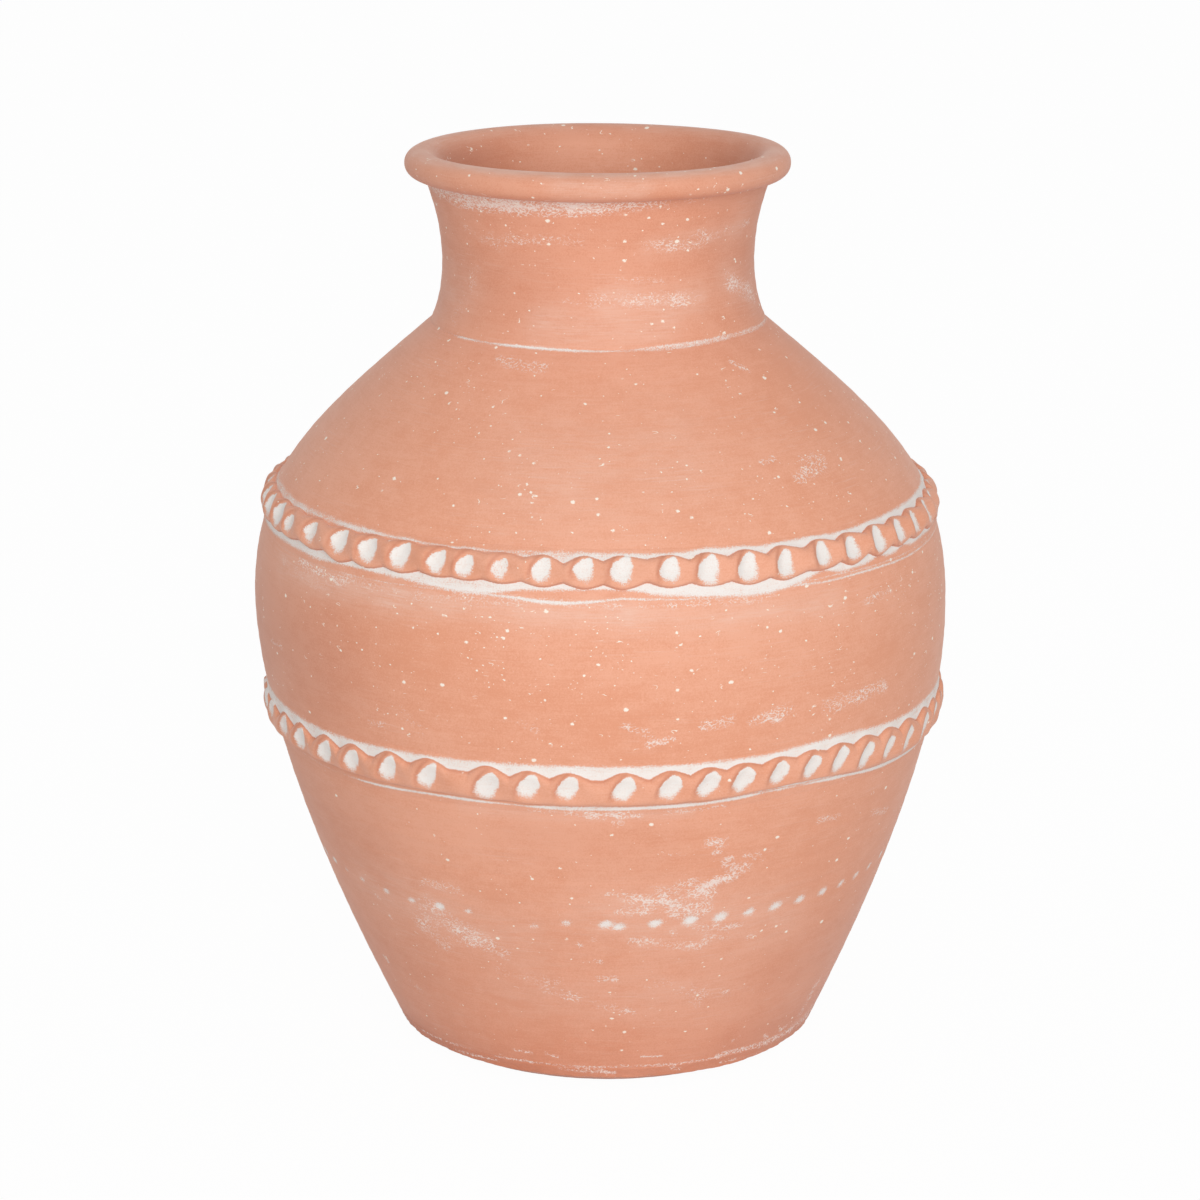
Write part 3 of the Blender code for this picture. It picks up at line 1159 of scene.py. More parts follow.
@dataclass
class BaseDisc(ClayPiece):
    """The slab that the vase stands on, with its worn and cut-back lower edge.

    The edge and hub are metres. The groove, chip and wear are millimetres and degrees.
    """

    slot: ClassVar[Slot] = Slot.FOOT
    node: str = "base_disc"
    edge_height: float = 0.0042
    edge_reach: float = 0.0080
    hub: float = 0.004
    chip: tuple[float, float, float] = (1.0, 42.0, 26.0)
    groove: tuple[float, float, float] = (0.22, 8.9, 0.45)
    wear: tuple[Wave, ...] = (
        (0.14, 11, 1), (0.12, 23, 0), (0.1, 47, 2), (0.08, 83, 0.7), (0.06, 131, 4),
    )  # fmt: skip
    rubs: tuple[Wave, ...] = ((0.4, 3, 0.4), (0.3, 7, 1.9))
    rub_strength: float = 0.3
    floor_rows: int = 24
    under_rows: int = 20
    column_count: int = 900

    def floor(self, form: VaseForm, degrees: Array) -> Skin:
        """The slab's upper face, inside the vase.

        Args:
            form: The form of the vase.
            degrees: The angles of the columns.

        Returns:
            The skin from the hub out.
        """
        reach = form.foot.level(form.clay).radius
        radii = np.linspace(self.hub, reach, self.floor_rows)[:, None]
        swirl = 0.5 * np.cos(radii / reach * 30.0 + np.radians(degrees))
        return Skin(radii + 0.0 * degrees, form.foot.height - 0.0009 + 0.0004 * swirl)

    def side(self, form: VaseForm, marks: ClayMarks, degrees: Array) -> Skin:
        """The slab's side, down to its cut-back lower edge.

        Args:
            form: The form of the vase.
            marks: What is smeared on it.
            degrees: The angles of the columns.

        Returns:
            The skin from the top down.
        """
        turn = np.radians(degrees)
        chip_depth, chip_angle, chip_width = self.chip
        groove_depth, groove_height, groove_width = self.groove
        cut_from = self.edge_height / MM
        cut_from = cut_from - chip_depth * bell(turn_between(degrees, chip_angle), chip_width)
        up = spaced(10.0, (4.2, 0.29), (3.4, 0.2), (0.4, 0.3))[:, None]
        wall, corner = (
            form.foot.radius - form.foot.lean * (form.foot.height - height * MM)
            for height in (up, cut_from)
        )
        cut = np.clip((cut_from - up) / cut_from, 0.0, 1.0)
        radii = np.where(up >= cut_from, wall, corner - self.edge_reach * cut**0.9)
        worn = ripple(turn, self.wear, np.sin)
        groove = groove_depth * bell(up - groove_height, groove_width)
        radii = radii + MM * (worn * bell(up - cut_from, 1.1) + 0.4 * worn * cut - groove)
        radii = radii + form.wobble(degrees, up * MM)
        veils, _ = marks.veils(degrees, up, radii / MM)
        patchy = np.clip(0.4 + ripple(turn, self.rubs, np.sin), 0.0, 1.0)
        rub = self.rub_strength * bell(up - cut_from, 0.8) * patchy
        veils[Veil.DUST] = np.maximum(veils[Veil.DUST], rub)
        return Skin(radii, up * MM + 0.0 * radii, veils)

    def under(self, side: Skin) -> Skin:
        """The flat face that the vase stands on, dusty near its edge.

        Args:
            side: The slab's side.

        Returns:
            The skin from the edge in to the hub.
        """
        start = side.radii[-1:] - 0.0008
        share = np.linspace(0.0, 1.0, self.under_rows)[:, None]
        radii = start + (self.hub - start) * share
        dust = self.rub_strength * bell(radii - start + 0.004, 0.004)
        return Skin(radii, np.zeros_like(radii), {Veil.DUST: dust})

    def build(self, form: VaseForm, marks: ClayMarks) -> bpy.types.Object:
        """Build the slab.

        Args:
            form: The form of the vase.
            marks: What is drawn and smeared on it.

        Returns:
            The slab's object.
        """
        degrees = columns(self.column_count)
        side = self.side(form, marks, degrees)
        skin = Skin.stack([self.floor(form, degrees), side, self.under(side)])
        return make_piece(self.name, skin, degrees, form, poles=True)


class Kind(Enum):
    """The kinds of socket that a node group can have."""

    PLACE = "NodeSocketVector"
    COLOUR = "NodeSocketColor"
    NUMBER = "NodeSocketFloat"


class Graph:
    """Short ways to add and join the nodes of one shader tree."""

    def __init__(self, tree: bpy.types.NodeTree) -> None:
        """Take the tree to work in, which may already hold nodes."""
        self.tree = tree

    def add(self, kind: str, **settings: Any) -> bpy.types.Node:
        """Add a node.

        Args:
            kind: The node's type.
            **settings: Values for the node's own properties.

        Returns:
            The node.
        """
        node = self.tree.nodes.new(kind)
        for key, value in settings.items():
            setattr(node, key, value)
        return node

    def feed(self, socket: Socket, value: Any) -> None:
        """Set a socket to a value, or join another socket to it.

        Args:
            socket: The input.
            value: An output socket, a number, a place or a colour.
        """
        if isinstance(value, Socket):
            self.tree.links.new(value, socket)
        elif socket.type == "RGBA":
            socket.default_value = (*value, 1.0)
        else:
            socket.default_value = value

    def fill(self, node: bpy.types.Node, values: dict[str, Any]) -> bpy.types.Node:
        """Feed some inputs of a node by their names.

        Args:
            node: The node.
            values: What each input takes, by name.

        Returns:
            The node.
        """
        for name, value in values.items():
            self.feed(node.inputs[name], value)
        return node

    def line(self, node: bpy.types.Node, *values: Any) -> Socket:
        """Feed the inputs of a node in their order.

        Args:
            node: The node.
            *values: What each input takes.

        Returns:
            The node's first output.
        """
        for socket, value in zip(node.inputs, values):
            self.feed(socket, value)
        return node.outputs[0]

    def maths(self, operation: str, *values: Any, clamp: bool = False) -> Socket:
        """A Math node's result, from its operation and its inputs in order."""
        return self.line(self.add("ShaderNodeMath", operation=operation, use_clamp=clamp), *values)

    def vectors(self, operation: str, *values: Any) -> Socket:
        """A Vector Math node's result, from its operation and its inputs in order."""
        return self.line(self.add("ShaderNodeVectorMath", operation=operation), *values)

    def times(self, first: Any, second: Any) -> Socket:
        """The product of two values."""
        return self.maths("MULTIPLY", first, second)

    def total(self, first: tuple[Socket, float], *others: tuple[Socket, float]) -> Socket:
        """A sum of values, each with its weight.

        Args:
            first: A value and its weight.
            *others: More of them.

        Returns:
            The sum.
        """
        result = self.times(*first)
        for value, weight in others:
            result = self.maths("MULTIPLY_ADD", value, weight, result)
        return result

    def uneven(self, amount: Socket, *noises: tuple[Socket, float]) -> Socket:
        """An amount made uneven by some noises.

        Args:
            amount: The amount.
            *noises: Each noise, whose middle is 0.5, and its weight.

        Returns:
            The uneven amount.
        """
        for noise, weight in noises:
            amount = self.maths("MULTIPLY_ADD", self.maths("SUBTRACT", noise, 0.5), weight, amount)
        return amount

    def off_middle(self, noise: Socket) -> Socket:
        """How far a noise is from its middle, which draws lines where it is near nought."""
        return self.maths("ABSOLUTE", self.maths("SUBTRACT", noise, 0.5))

    def noise(self, place: Socket, scale: Place, detail: float, rough: float) -> Socket:
        """A Noise Texture's value.

        Args:
            place: The place.
            scale: Cells for each metre along each axis.
            detail: Its octaves.
            rough: How strong the finer octaves are.

        Returns:
            A value from 0 to 1, mostly near 0.5.
        """
        place = self.vectors("MULTIPLY", place, scale)
        values = {"Vector": place, "Scale": 1.0, "Detail": detail, "Roughness": rough}
        return self.fill(self.add("ShaderNodeTexNoise"), values).outputs["Fac"]

    def cells(self, place: Socket, scale: Place) -> tuple[Socket, Sockets]:
        """Scattered cells.

        Args:
            place: The place.
            scale: Cells for each metre along each axis.

        Returns:
            The distance to the nearest cell's middle, and three chances from 0 to 1 that the cell draws.
        """
        node = self.add("ShaderNodeTexVoronoi", feature="F1")
        self.fill(node, {"Vector": self.vectors("MULTIPLY", place, scale), "Scale": 1.0})
        chances = self.add("ShaderNodeSeparateColor")
        self.line(chances, node.outputs["Color"])
        return node.outputs["Distance"], chances.outputs

    def ramp(self, value: Any, low: Any, high: Any, bottom: float = 0.0, top: float = 1.0) -> Socket:
        """A smooth step of a value between two bounds.

        Args:
            value: The value.
            low: Where the step starts.
            high: Where it ends.
            bottom: The result below the step.
            top: The result above it.

        Returns:
            The result's socket.
        """
        node = self.add("ShaderNodeMapRange", interpolation_type="SMOOTHSTEP")
        values = {"Value": value, "From Min": low, "From Max": high, "To Min": bottom, "To Max": top}
        return self.fill(node, values).outputs["Result"]

    def blend(self, share: Any, first: Any, second: Any, mode: str = "MIX") -> Socket:
        """A mix of two colours.

        Args:
            share: The share of the second.
            first: A colour or socket.
            second: A colour or socket.
            mode: How the second is laid over the first.

        Returns:
            The mixed colour.
        """
        node = self.add("ShaderNodeMix", data_type="RGBA", blend_type=mode)
        for index, value in ((0, share), (6, first), (7, second)):
            self.feed(node.inputs[index], value)
        return node.outputs[2]

    def group(self, tree: bpy.types.NodeTree, **values: Any) -> Sockets:
        """Place a node group, with its inputs by name, and give its outputs."""
        return self.fill(self.add("ShaderNodeGroup", node_tree=tree), values).outputs


class ClayEffects:
    """The shader node groups that all the clay finishes share, each built once."""

    def __init__(self) -> None:
        """Build every group."""
        self.tone = self._tone()
        self.wiping = self._wiping()
        self.lime = self._lime()
        self.chalk = self._chalk()
        self.slip = self._slip()
        self.bloom = self._bloom()

    @staticmethod
    def _tree(
        name: str, inputs: dict[str, Kind], outputs: dict[str, Kind]
    ) -> tuple[Graph, Sockets, bpy.types.Node]:
        """Start a group, which takes a place and some inputs more.

        Args:
            name: The group's name.
            inputs: Kinds of its other inputs by name.
            outputs: Kinds of its outputs by name.

        Returns:
            Its graph, what it is given, and its output node.
        """
        tree = bpy.data.node_groups.new(name, "ShaderNodeTree")
        for label, kind in {"Place": Kind.PLACE, **inputs}.items():
            tree.interface.new_socket(label, in_out="INPUT", socket_type=kind.value)
        for label, kind in outputs.items():
            tree.interface.new_socket(label, in_out="OUTPUT", socket_type=kind.value)
        graph = Graph(tree)
        return graph, graph.add("NodeGroupInput").outputs, graph.add("NodeGroupOutput")

    def _tone(self) -> bpy.types.NodeTree:
        """Fired clay's own colour: soft clouds, faint turning lines, a fine grain, and the painted shade."""
        inputs = {"Deep": Kind.COLOUR, "Pale": Kind.COLOUR, "Shade": Kind.NUMBER}
        outputs = {"Color": Kind.COLOUR, "Grain": Kind.NUMBER}
        graph, given, result = self._tree("clay_tone", inputs, outputs)
        place = given["Place"]
        clouds = graph.noise(place, (10, 10, 16), 3, 0.5)
        mottle = graph.noise(place, (90, 90, 150), 5, 0.66)
        turned = graph.noise(place, (60, 60, 1700), 2, 0.6)
        grain = graph.noise(place, (1700, 1700, 1700), 2, 0.6)
        mixed = graph.total((mottle, 0.24), (clouds, 0.32), (turned, 0.12), (grain, 0.32))
        colour = graph.blend(graph.ramp(mixed, 0.40, 0.60), given["Deep"], given["Pale"])
        # Painted shade: the clay colour multiplied towards a dark tint.
        colour = graph.blend(given["Shade"], colour, PAINTED_SHADE_TINT, "MULTIPLY")
        graph.fill(result, {"Color": colour, "Grain": grain})
        return graph.tree

    def _wiping(self) -> bpy.types.NodeTree:
        """Fine level lines that a wet sponge leaves, in broad patches."""
        outputs = {"Mask": Kind.NUMBER, "Height": Kind.NUMBER}
        graph, given, result = self._tree("wiping_lines", {"Strength": Kind.NUMBER}, outputs)
        place = given["Place"]
        lines = graph.noise(place, (70, 70, 1900), 3, 0.7)
        patches = graph.ramp(graph.noise(place, (24, 24, 60), 3, 0.55), 0.46, 0.66)
        mask = graph.times(graph.times(graph.ramp(lines, 0.52, 0.70), patches), given["Strength"])
        graph.fill(result, {"Mask": mask, "Height": lines})
        return graph.tree

    def _lime(self) -> bpy.types.NodeTree:
        """Lime specks of many sizes and a few short scratches, thicker in some places than in others."""
        inputs = {"Size": Kind.NUMBER, "Density": Kind.NUMBER}
        graph, given, result = self._tree("lime_specks", inputs, {"Mask": Kind.NUMBER})
        place = given["Place"]
        ragged = graph.add("ShaderNodeTexNoise")
        graph.fill(ragged, {"Vector": graph.vectors("MULTIPLY", place, (1500, 1500, 1500)), "Scale": 1.0})
        nudge = graph.vectors("SUBTRACT", ragged.outputs["Color"], (0.5, 0.5, 0.5))
        nudged = graph.vectors("MULTIPLY_ADD", nudge, (0.0011, 0.0011, 0.0007), place)
        crowd = graph.ramp(graph.noise(place, (26, 26, 26), 3, 0.6), 0.40, 0.60, 0.25, 1.1)
        clump = graph.ramp(graph.noise(place, (95, 95, 95), 2, 0.5), 0.42, 0.60, 0.35, 1.4)
        limit = graph.times(given["Density"], graph.times(crowd, clump))
        mask: Any = 0.0
        for scale, least, spread, keep, opacity in (
            (205.0, 0.085, 0.170, 0.95, 1.0),
            (370.0, 0.100, 0.095, 0.50, 1.0),
            (600.0, 0.120, 0.080, 0.16, 0.8),
        ):
            distance, chances = graph.cells(nudged, (scale, scale, scale * 1.3))
            size = graph.maths("MULTIPLY_ADD", graph.maths("POWER", chances[0], 3.0), spread, least)
            size = graph.times(size, given["Size"])
            shown = graph.maths("LESS_THAN", chances[1], graph.times(limit, keep))
            dot = graph.ramp(distance, graph.times(size, 0.55), size, 1.0, 0.0)
            mask = graph.maths("MAXIMUM", mask, graph.times(graph.times(dot, shown), opacity))
        distance, chances = graph.cells(place, (150, 150, 210))
        rare = graph.maths("LESS_THAN", chances[0], graph.times(limit, 0.42))
        close = graph.ramp(distance, 0.14, 0.24, 1.0, 0.0)
        contour = graph.off_middle(graph.noise(place, (210, 210, 520), 1, 0.5))
        hair = graph.ramp(contour, 0.008, 0.028, 1.0, 0.0)
        mask = graph.maths("MAXIMUM", mask, graph.times(graph.times(hair, close), rare))
        graph.fill(result, {"Mask": mask})
        return graph.tree

    def _chalk(self) -> bpy.types.NodeTree:
        """Chalk dust that sits in the grain of the clay, with wiped edges."""
        graph, given, result = self._tree("chalk_dust", {"Amount": Kind.NUMBER}, {"Mask": Kind.NUMBER})
        place = given["Place"]
        grain = graph.noise(place, (1900, 1900, 2300), 2, 0.65)
        threads = graph.noise(place, (560, 560, 900), 1, 0.5)
        blobs = graph.noise(place, (110, 110, 230), 4, 0.68)
        streaks = graph.noise(place, (70, 70, 1300), 2, 0.6)
        thread = graph.ramp(graph.off_middle(threads), 0.01, 0.09, 0.55, -0.45)
        uneven = graph.uneven(graph.times(thread, 0.55), (grain, 1.3), (blobs, 1.5), (streaks, 0.5))
        gate = graph.maths("MULTIPLY_ADD", given["Amount"], 3.0, 0.1, clamp=True)
        amount = graph.maths("MULTIPLY_ADD", uneven, gate, given["Amount"])
        graph.fill(result, {"Mask": graph.ramp(amount, 0.30, 0.94)})
        return graph.tree

    def _slip(self) -> bpy.types.NodeTree:
        """White slip with brushed, grainy edges and a little clay showing through."""
        inputs = {"Amount": Kind.NUMBER, "Thin": Kind.COLOUR, "Thick": Kind.COLOUR}
        outputs = {"Mask": Kind.NUMBER, "Height": Kind.NUMBER, "Color": Kind.COLOUR}
        graph, given, result = self._tree("white_slip", inputs, outputs)
        place = given["Place"]
        grain = graph.noise(place, (2200, 2200, 2400), 2, 0.66)
        brush = graph.noise(place, (100, 100, 1400), 3, 0.62)
        daub = graph.noise(place, (340, 340, 480), 3, 0.6)
        amount = graph.uneven(given["Amount"], (grain, 1.4), (brush, 0.5), (daub, 0.4))
        colour = graph.blend(graph.ramp(amount, 0.5, 1.15), given["Thin"], given["Thick"])
        mask, height = graph.ramp(amount, 0.32, 0.78), graph.ramp(amount, 0.35, 0.95)
        graph.fill(result, {"Mask": mask, "Height": height, "Color": colour})
        return graph.tree

    def _bloom(self) -> bpy.types.NodeTree:
        """A thin pale bloom that veils the clay in wiped streaks."""
        graph, given, result = self._tree("pale_bloom", {"Amount": Kind.NUMBER}, {"Mask": Kind.NUMBER})
        clouds = graph.noise(given["Place"], (55, 55, 260), 4, 0.62)
        streaks = graph.noise(given["Place"], (110, 110, 1700), 3, 0.7)
        mixed = graph.ramp(graph.total((streaks, 0.5), (clouds, 0.5)), 0.36, 0.66, 0.3, 1.0)
        graph.fill(result, {"Mask": graph.times(given["Amount"], mixed)})
        return graph.tree


@dataclass(frozen=True)
class ClayFinish:
    """One finish of the fired clay. Colours are linear."""

    slot: Slot
    deep: Colour = (0.755, 0.318, 0.186)
    pale: Colour = (0.825, 0.398, 0.262)
    bloom: Colour = (0.840, 0.600, 0.500)
    chalk: Colour = (0.870, 0.760, 0.700)
    lime: Colour = (0.950, 0.850, 0.730)
    thin_slip: Colour = (0.820, 0.720, 0.660)
    thick_slip: Colour = (0.865, 0.840, 0.806)
    roughness: float = 0.70
    specular: float = 0.5
    sheen: float = 0.16
    speck_size: float = 1.0
    speck_density: float = 1.0
    wiping: float = 0.34
    bump: float = 0.35

    def crowding(self, graph: Graph, place: Socket) -> Socket:
        """How thick the lime specks lie, which changes with height and from left to right.

        Args:
            graph: The material's graph.
            place: The place on the vase.

        Returns:
            The density there.
        """
        parts = graph.add("ShaderNodeSeparateXYZ")
        graph.line(parts, place)
        height, across = parts.outputs["Z"], parts.outputs["X"]
        crowd = graph.ramp(height, 0.115, 0.165, 0.36, 1.25)
        crowd = graph.times(crowd, graph.ramp(height, 0.205, 0.235, 1.0, 0.80))
        crowd = graph.times(crowd, graph.ramp(across, -0.11, -0.04, 0.5, 1.0))
        return graph.times(crowd, self.speck_density)

    def material(self, effects: ClayEffects) -> bpy.types.Material:
        """Build the finish's material.

        Args:
            effects: The shared node groups.

        Returns:
            The material, named for its slot.
        """
        material = bpy.data.materials.new(self.slot.value + "_finish")
        material.use_nodes = True
        graph = Graph(material.node_tree)
        place = graph.add("ShaderNodeTexCoord").outputs["Object"]
        veils = {
            veil: graph.add("ShaderNodeAttribute", attribute_name=veil.value).outputs["Fac"]
            for veil in Veil
        }
        tone = graph.group(
            effects.tone, Place=place, Deep=self.deep, Pale=self.pale, Shade=veils[Veil.SHADE]
        )
        wiping = graph.group(effects.wiping, Place=place, Strength=self.wiping)
        crowd = self.crowding(graph, place)
        lime = graph.group(effects.lime, Place=place, Size=self.speck_size, Density=crowd)
        chalk = graph.group(effects.chalk, Place=place, Amount=veils[Veil.DUST])
        slip = graph.group(
            effects.slip, Place=place, Amount=veils[Veil.SLIP], Thin=self.thin_slip, Thick=self.thick_slip
        )
        bloom = graph.group(effects.bloom, Place=place, Amount=veils[Veil.HAZE])

        colour = tone["Color"]
        for share, layer in (
            (bloom["Mask"], self.bloom),
            (graph.times(wiping["Mask"], 0.35), self.chalk),
            (graph.times(chalk["Mask"], 0.85), self.chalk),
            (lime["Mask"], self.lime),
            (graph.times(slip["Mask"], 0.96), slip["Color"]),
        ):
            colour = graph.blend(share, colour, layer)
        rough = graph.maths("MULTIPLY_ADD", tone["Grain"], 0.08, self.roughness - 0.04)
        rough = graph.maths("MAXIMUM", rough, graph.times(slip["Mask"], 0.95), clamp=True)
        relief = graph.total(
            (tone["Grain"], 0.4), (wiping["Height"], 0.3), (slip["Height"], 0.5), (lime["Mask"], 0.25)
        )
        bump = graph.add("ShaderNodeBump")
        graph.fill(bump, {"Strength": self.bump, "Distance": 0.3 * MM, "Height": relief})
        values = {
            "Base Color": colour,
            "Roughness": rough,
            "Normal": bump.outputs["Normal"],
            "Sheen Weight": self.sheen,
            "Sheen Roughness": 0.5,
            "Specular IOR Level": self.specular,
        }
        graph.fill(material.node_tree.nodes["Principled BSDF"], values)
        return material


@dataclass
class Studio:
    """The plain studio: a pale floor, soft light from the viewer's side and the photograph's camera."""

    floor_width: float = 40.0
    floor_colour: Colour = (0.88, 0.88, 0.88)
    floor_glow: float = 0.97
    ambient: float = 0.48
    key_energy: float = 56.0
    key_size: float = 2.2
    key_place: Place = (0.32, -2.88, 1.36)
    key_aim: Place = (0.0, 0.0, 0.18)
    camera_place: Place = (0.0, -1.3905, 0.5604)
    camera_pitch: float = 15.417
    lens: float = 106.19
    sensor: float = 36.0

    @staticmethod
    def seen_plainly(graph: Graph) -> Socket:
        """1 for rays that show the background: straight from the camera, or by way of gloss or glass."""
        path = graph.add("ShaderNodeLightPath")
        rays = graph.maths("ADD", path.outputs["Is Camera Ray"], path.outputs["Is Glossy Ray"], clamp=True)
        return graph.maths("ADD", rays, path.outputs["Is Transmission Ray"], clamp=True)

    def build_floor(self) -> bpy.types.Object:
        """Build the floor, white to the camera apart from the vase's faint shadow.

        Returns:
            The floor's object.
        """
        half = self.floor_width / 2.0
        mesh = bpy.data.meshes.new("floor")
        corners = [(-half, -half, 0.0), (half, -half, 0.0), (half, half, 0.0), (-half, half, 0.0)]
        mesh.from_pydata(corners, [], [(0, 1, 2, 3)])
        material = bpy.data.materials.new("floor_paper")
        material.use_nodes = True
        graph = Graph(material.node_tree)
        nodes = material.node_tree.nodes
        values = {"Base Color": self.floor_colour, "Roughness": 0.95, "Specular IOR Level": 0.1}
        paper = graph.fill(nodes["Principled BSDF"], values).outputs[0]
        glow = graph.fill(graph.add("ShaderNodeEmission"), {"Strength": 1.0}).outputs[0]
        share = graph.times(self.seen_plainly(graph), self.floor_glow)
        surface = graph.line(graph.add("ShaderNodeMixShader"), share, paper, glow)
        graph.fill(nodes["Material Output"], {"Surface": surface})
        mesh.materials.append(material)
        floor = show("floor", mesh)
        return floor

    def build_light(self) -> None:
        """Build the soft frontal light and the even light of the room."""
        lamp = bpy.data.lights.new("soft_front", "AREA")
        lamp.shape = "SQUARE"
        lamp.size = self.key_size
        lamp.energy = self.key_energy
        light = show("soft_front", lamp)
        light.location = self.key_place
        aim = np.array(self.key_aim) - np.array(self.key_place)
        tip = math.atan2(math.hypot(aim[0], aim[1]), -aim[2])
        light.rotation_euler = (tip, 0.0, math.atan2(aim[1], aim[0]) - math.pi / 2.0)
        world = bpy.data.worlds.new("studio_air")
        world.use_nodes = True
        bpy.context.scene.world = world
        graph = Graph(world.node_tree)
        strength = graph.ramp(self.seen_plainly(graph), 0.0, 1.0, self.ambient, 1.0)
        values = {"Color": (1.0, 1.0, 1.0), "Strength": strength}
        graph.fill(world.node_tree.nodes["Background"], values)

    def build_camera(self) -> bpy.types.Object:
        """Build the camera at the photograph's place.

        Returns:
            The camera's object.
        """
        data = bpy.data.cameras.new("photo_camera")
        data.lens = self.lens
        data.sensor_width = self.sensor
        data.clip_start = 0.05
        data.clip_end = 100.0
        camera = show("photo_camera", data)
        camera.location = self.camera_place
        camera.rotation_euler = (math.radians(90.0 - self.camera_pitch), 0.0, 0.0)
        bpy.context.scene.camera = camera
        bpy.context.scene.view_settings.view_transform = "Standard"
        return camera


def front_presses(*angles: float, small: dict[float, tuple[float, float]]) -> tuple[Press, ...]:
    """Presses at some angles, a few of them with their own size and fullness, given by angle."""
    return tuple(Press(angle, *small.get(angle, (1.0, 1.0))) for angle in angles)


def upper_cordon(form: VaseForm) -> Cordon:
    """The cordon over the seam between belly and shoulder."""
    return Cordon(
        node="upper_cordon",
        seam=form.upper_seam,
        front=front_presses(
            -82.6, -76.2, -69.3, -63.2, -55.3, -47.2, -40.3, -33.5, -26.6, -21.7, -15.8, -9.1, -2.4, 3.6,
            11.2, 17.5, 24.1, 30.8, 38.4, 44.9, 52, 58.7, 65.2, 72.8, 79.3,
            small={
                -63.2: (0.82, 0.85), -55.3: (0.88, 0.9), -26.6: (0.88, 0.95), -21.7: (0.9, 0.95),
                -15.8: (0.88, 0.8), -9.1: (0.95, 0.97), 3.6: (1.08, 1), 17.5: (1.12, 1), 24.1: (1.08, 1),
                58.7: (0.94, 0.95), 65.2: (0.92, 0.9),
            },
        ),
        press_top=4.2,
        dip_top=around(
            (-80, 3), (-50, 3.2), (-25, 3), (-13, 2.7), (-6, 0.8), (0.6, 1.7), (7.5, 3), (14.4, 1.9),
            (21, 2.3), (28, 1.7), (35, 2.2), (43, 2.3), (51, 2.6), (58, 2.6), (80, 2.4), (150, 2.2),
            (220, 2.8),
        ),
        press_bottom=around(
            (-80, -6.9), (-63, -7.1), (-55, -6.9), (-47.5, -7.7), (-40, -7.3), (-33, -6.8), (0, -6.8),
            (19, -6.9), (25, -7.5), (31, -7.6), (39, -6.3), (45.5, -7.1), (53, -6.6), (60, -6.4),
            (68, -6.8), (130, -6.8), (220, -6.9),
        ),
        dip_bottom=around(
            (-80, -5.4), (-60.8, -5.7), (-52.9, -5.4), (-44.1, -5.6), (-37.3, -5.5), (-30.4, -5),
            (-24, -5), (-12, -4.7), (0, -4.6), (8, -4.6), (14.4, -5), (21.6, -5.5), (29, -5.8),
            (35.9, -5.7), (42.7, -4.6), (49, -4.6), (56, -4.6), (62, -4.9), (80, -5.3), (130, -5.2),
            (200, -5), (240, -5.3),
        ),
        crown=4.5,
        sag=0.0,
        hollow_depth=2.9,
        hollow_across=(3.7, 8.4),
        hollow_along=5.5,
        patch_across=(3.6, 4.2),
        patch_along=around(
            (-80, 4.5), (-55.3, 4.5), (-47.2, 4.5), (-40.3, 4.8), (-33.5, 4.8), (-26.6, 4.6),
            (-21.7, 4.5), (-15.8, 4.4), (-9.1, 4.4), (-2.4, 4.1), (3.6, 4.3), (11.2, 4.2), (17.5, 4.6),
            (24.1, 4.6), (30.8, 4.8), (38.4, 4.4), (44.9, 4.25), (52, 4.8), (58.7, 4.4), (80, 4.5),
            (180, 4.5),
        ),
        patch_width=around(
            (-80, 0.9), (-55.3, 0.9), (-40.3, 0.91), (-33.5, 0.88), (-26.6, 0.87), (-21.7, 0.81),
            (-9.1, 0.88), (11.2, 0.88), (17.5, 0.93), (24.1, 0.97), (30.8, 0.9), (38.4, 0.88), (44.9, 1),
            (52, 0.98), (80, 0.95), (180, 0.93),
        ),
        patch_lean=around((-80, 0.04), (-40, 0), (0, 0), (20, 0.04), (60, 0.08), (180, 0)),
        ragged_turn=0.4,
        patch_power=2.15,
        taper=around((-80, 0.3), (-40, 0.38), (0, 0.3), (20, 0.36), (60, 0.3), (180, 0.32)),
        tilt=around(
            (-80, 34), (-55.3, 40), (-47.2, 41), (-40.3, 41), (-33.5, 36), (-26.6, 38), (-21.7, 36),
            (-15.8, 36), (-9.1, 30), (-2.4, 36), (3.6, 33), (11.2, 30), (17.5, 32), (24.1, 28),
            (30.8, 22), (38.4, 12), (52, 10), (80, 10), (140, 16), (200, 24), (250, 30),
        ),
        skew=around(
            (-80, 0), (-20, 0), (10, 0.15), (28, 0.6), (60, 0.9), (90, 0.8), (150, 0.4), (220, 0.2),
        ),
        offset=around(
            (-80, 0.4), (-55, 0.5), (-47, 0.1), (-40, 0.3), (-30, 0.5), (0, 0.1), (40, -0.7), (80, -0.6),
            (140, 0.4), (200, -0.3), (250, 0.2),
        ),
        lift=level(0.0),
        middle=around(
            (-82.6, -0.8), (-69.3, -0.6), (-63.2, -1.4), (-55.3, -0.6), (-47.2, 0), (-40.3, -0.7),
            (-33.5, -0.5), (-26.6, -0.9), (-21.7, -1.3), (-15.8, -1.2), (-9.1, -0.6), (-2.4, 0), (3.6, 0),
            (11.2, -0.3), (17.5, -1), (24.1, -1.3), (30.8, -1.7), (38.4, -0.6), (44.9, -1.2), (52, -0.9),
            (58.7, -0.8), (79.3, -0.9), (180, -1),
        ),
        crease=around((-80, 0.1), (-30, 0.1), (-14, 0.2), (0, 0.32), (40, 0.38), (80, 0.34), (180, 0.3)),
        skirt_top=7.8,
        skirt_bottom=-13.0,
        under_shade=0.5,
        under_width=14.0,
        arch=8.2,
        pitch=6.72,
        seed=21,
    )  # fmt: skip


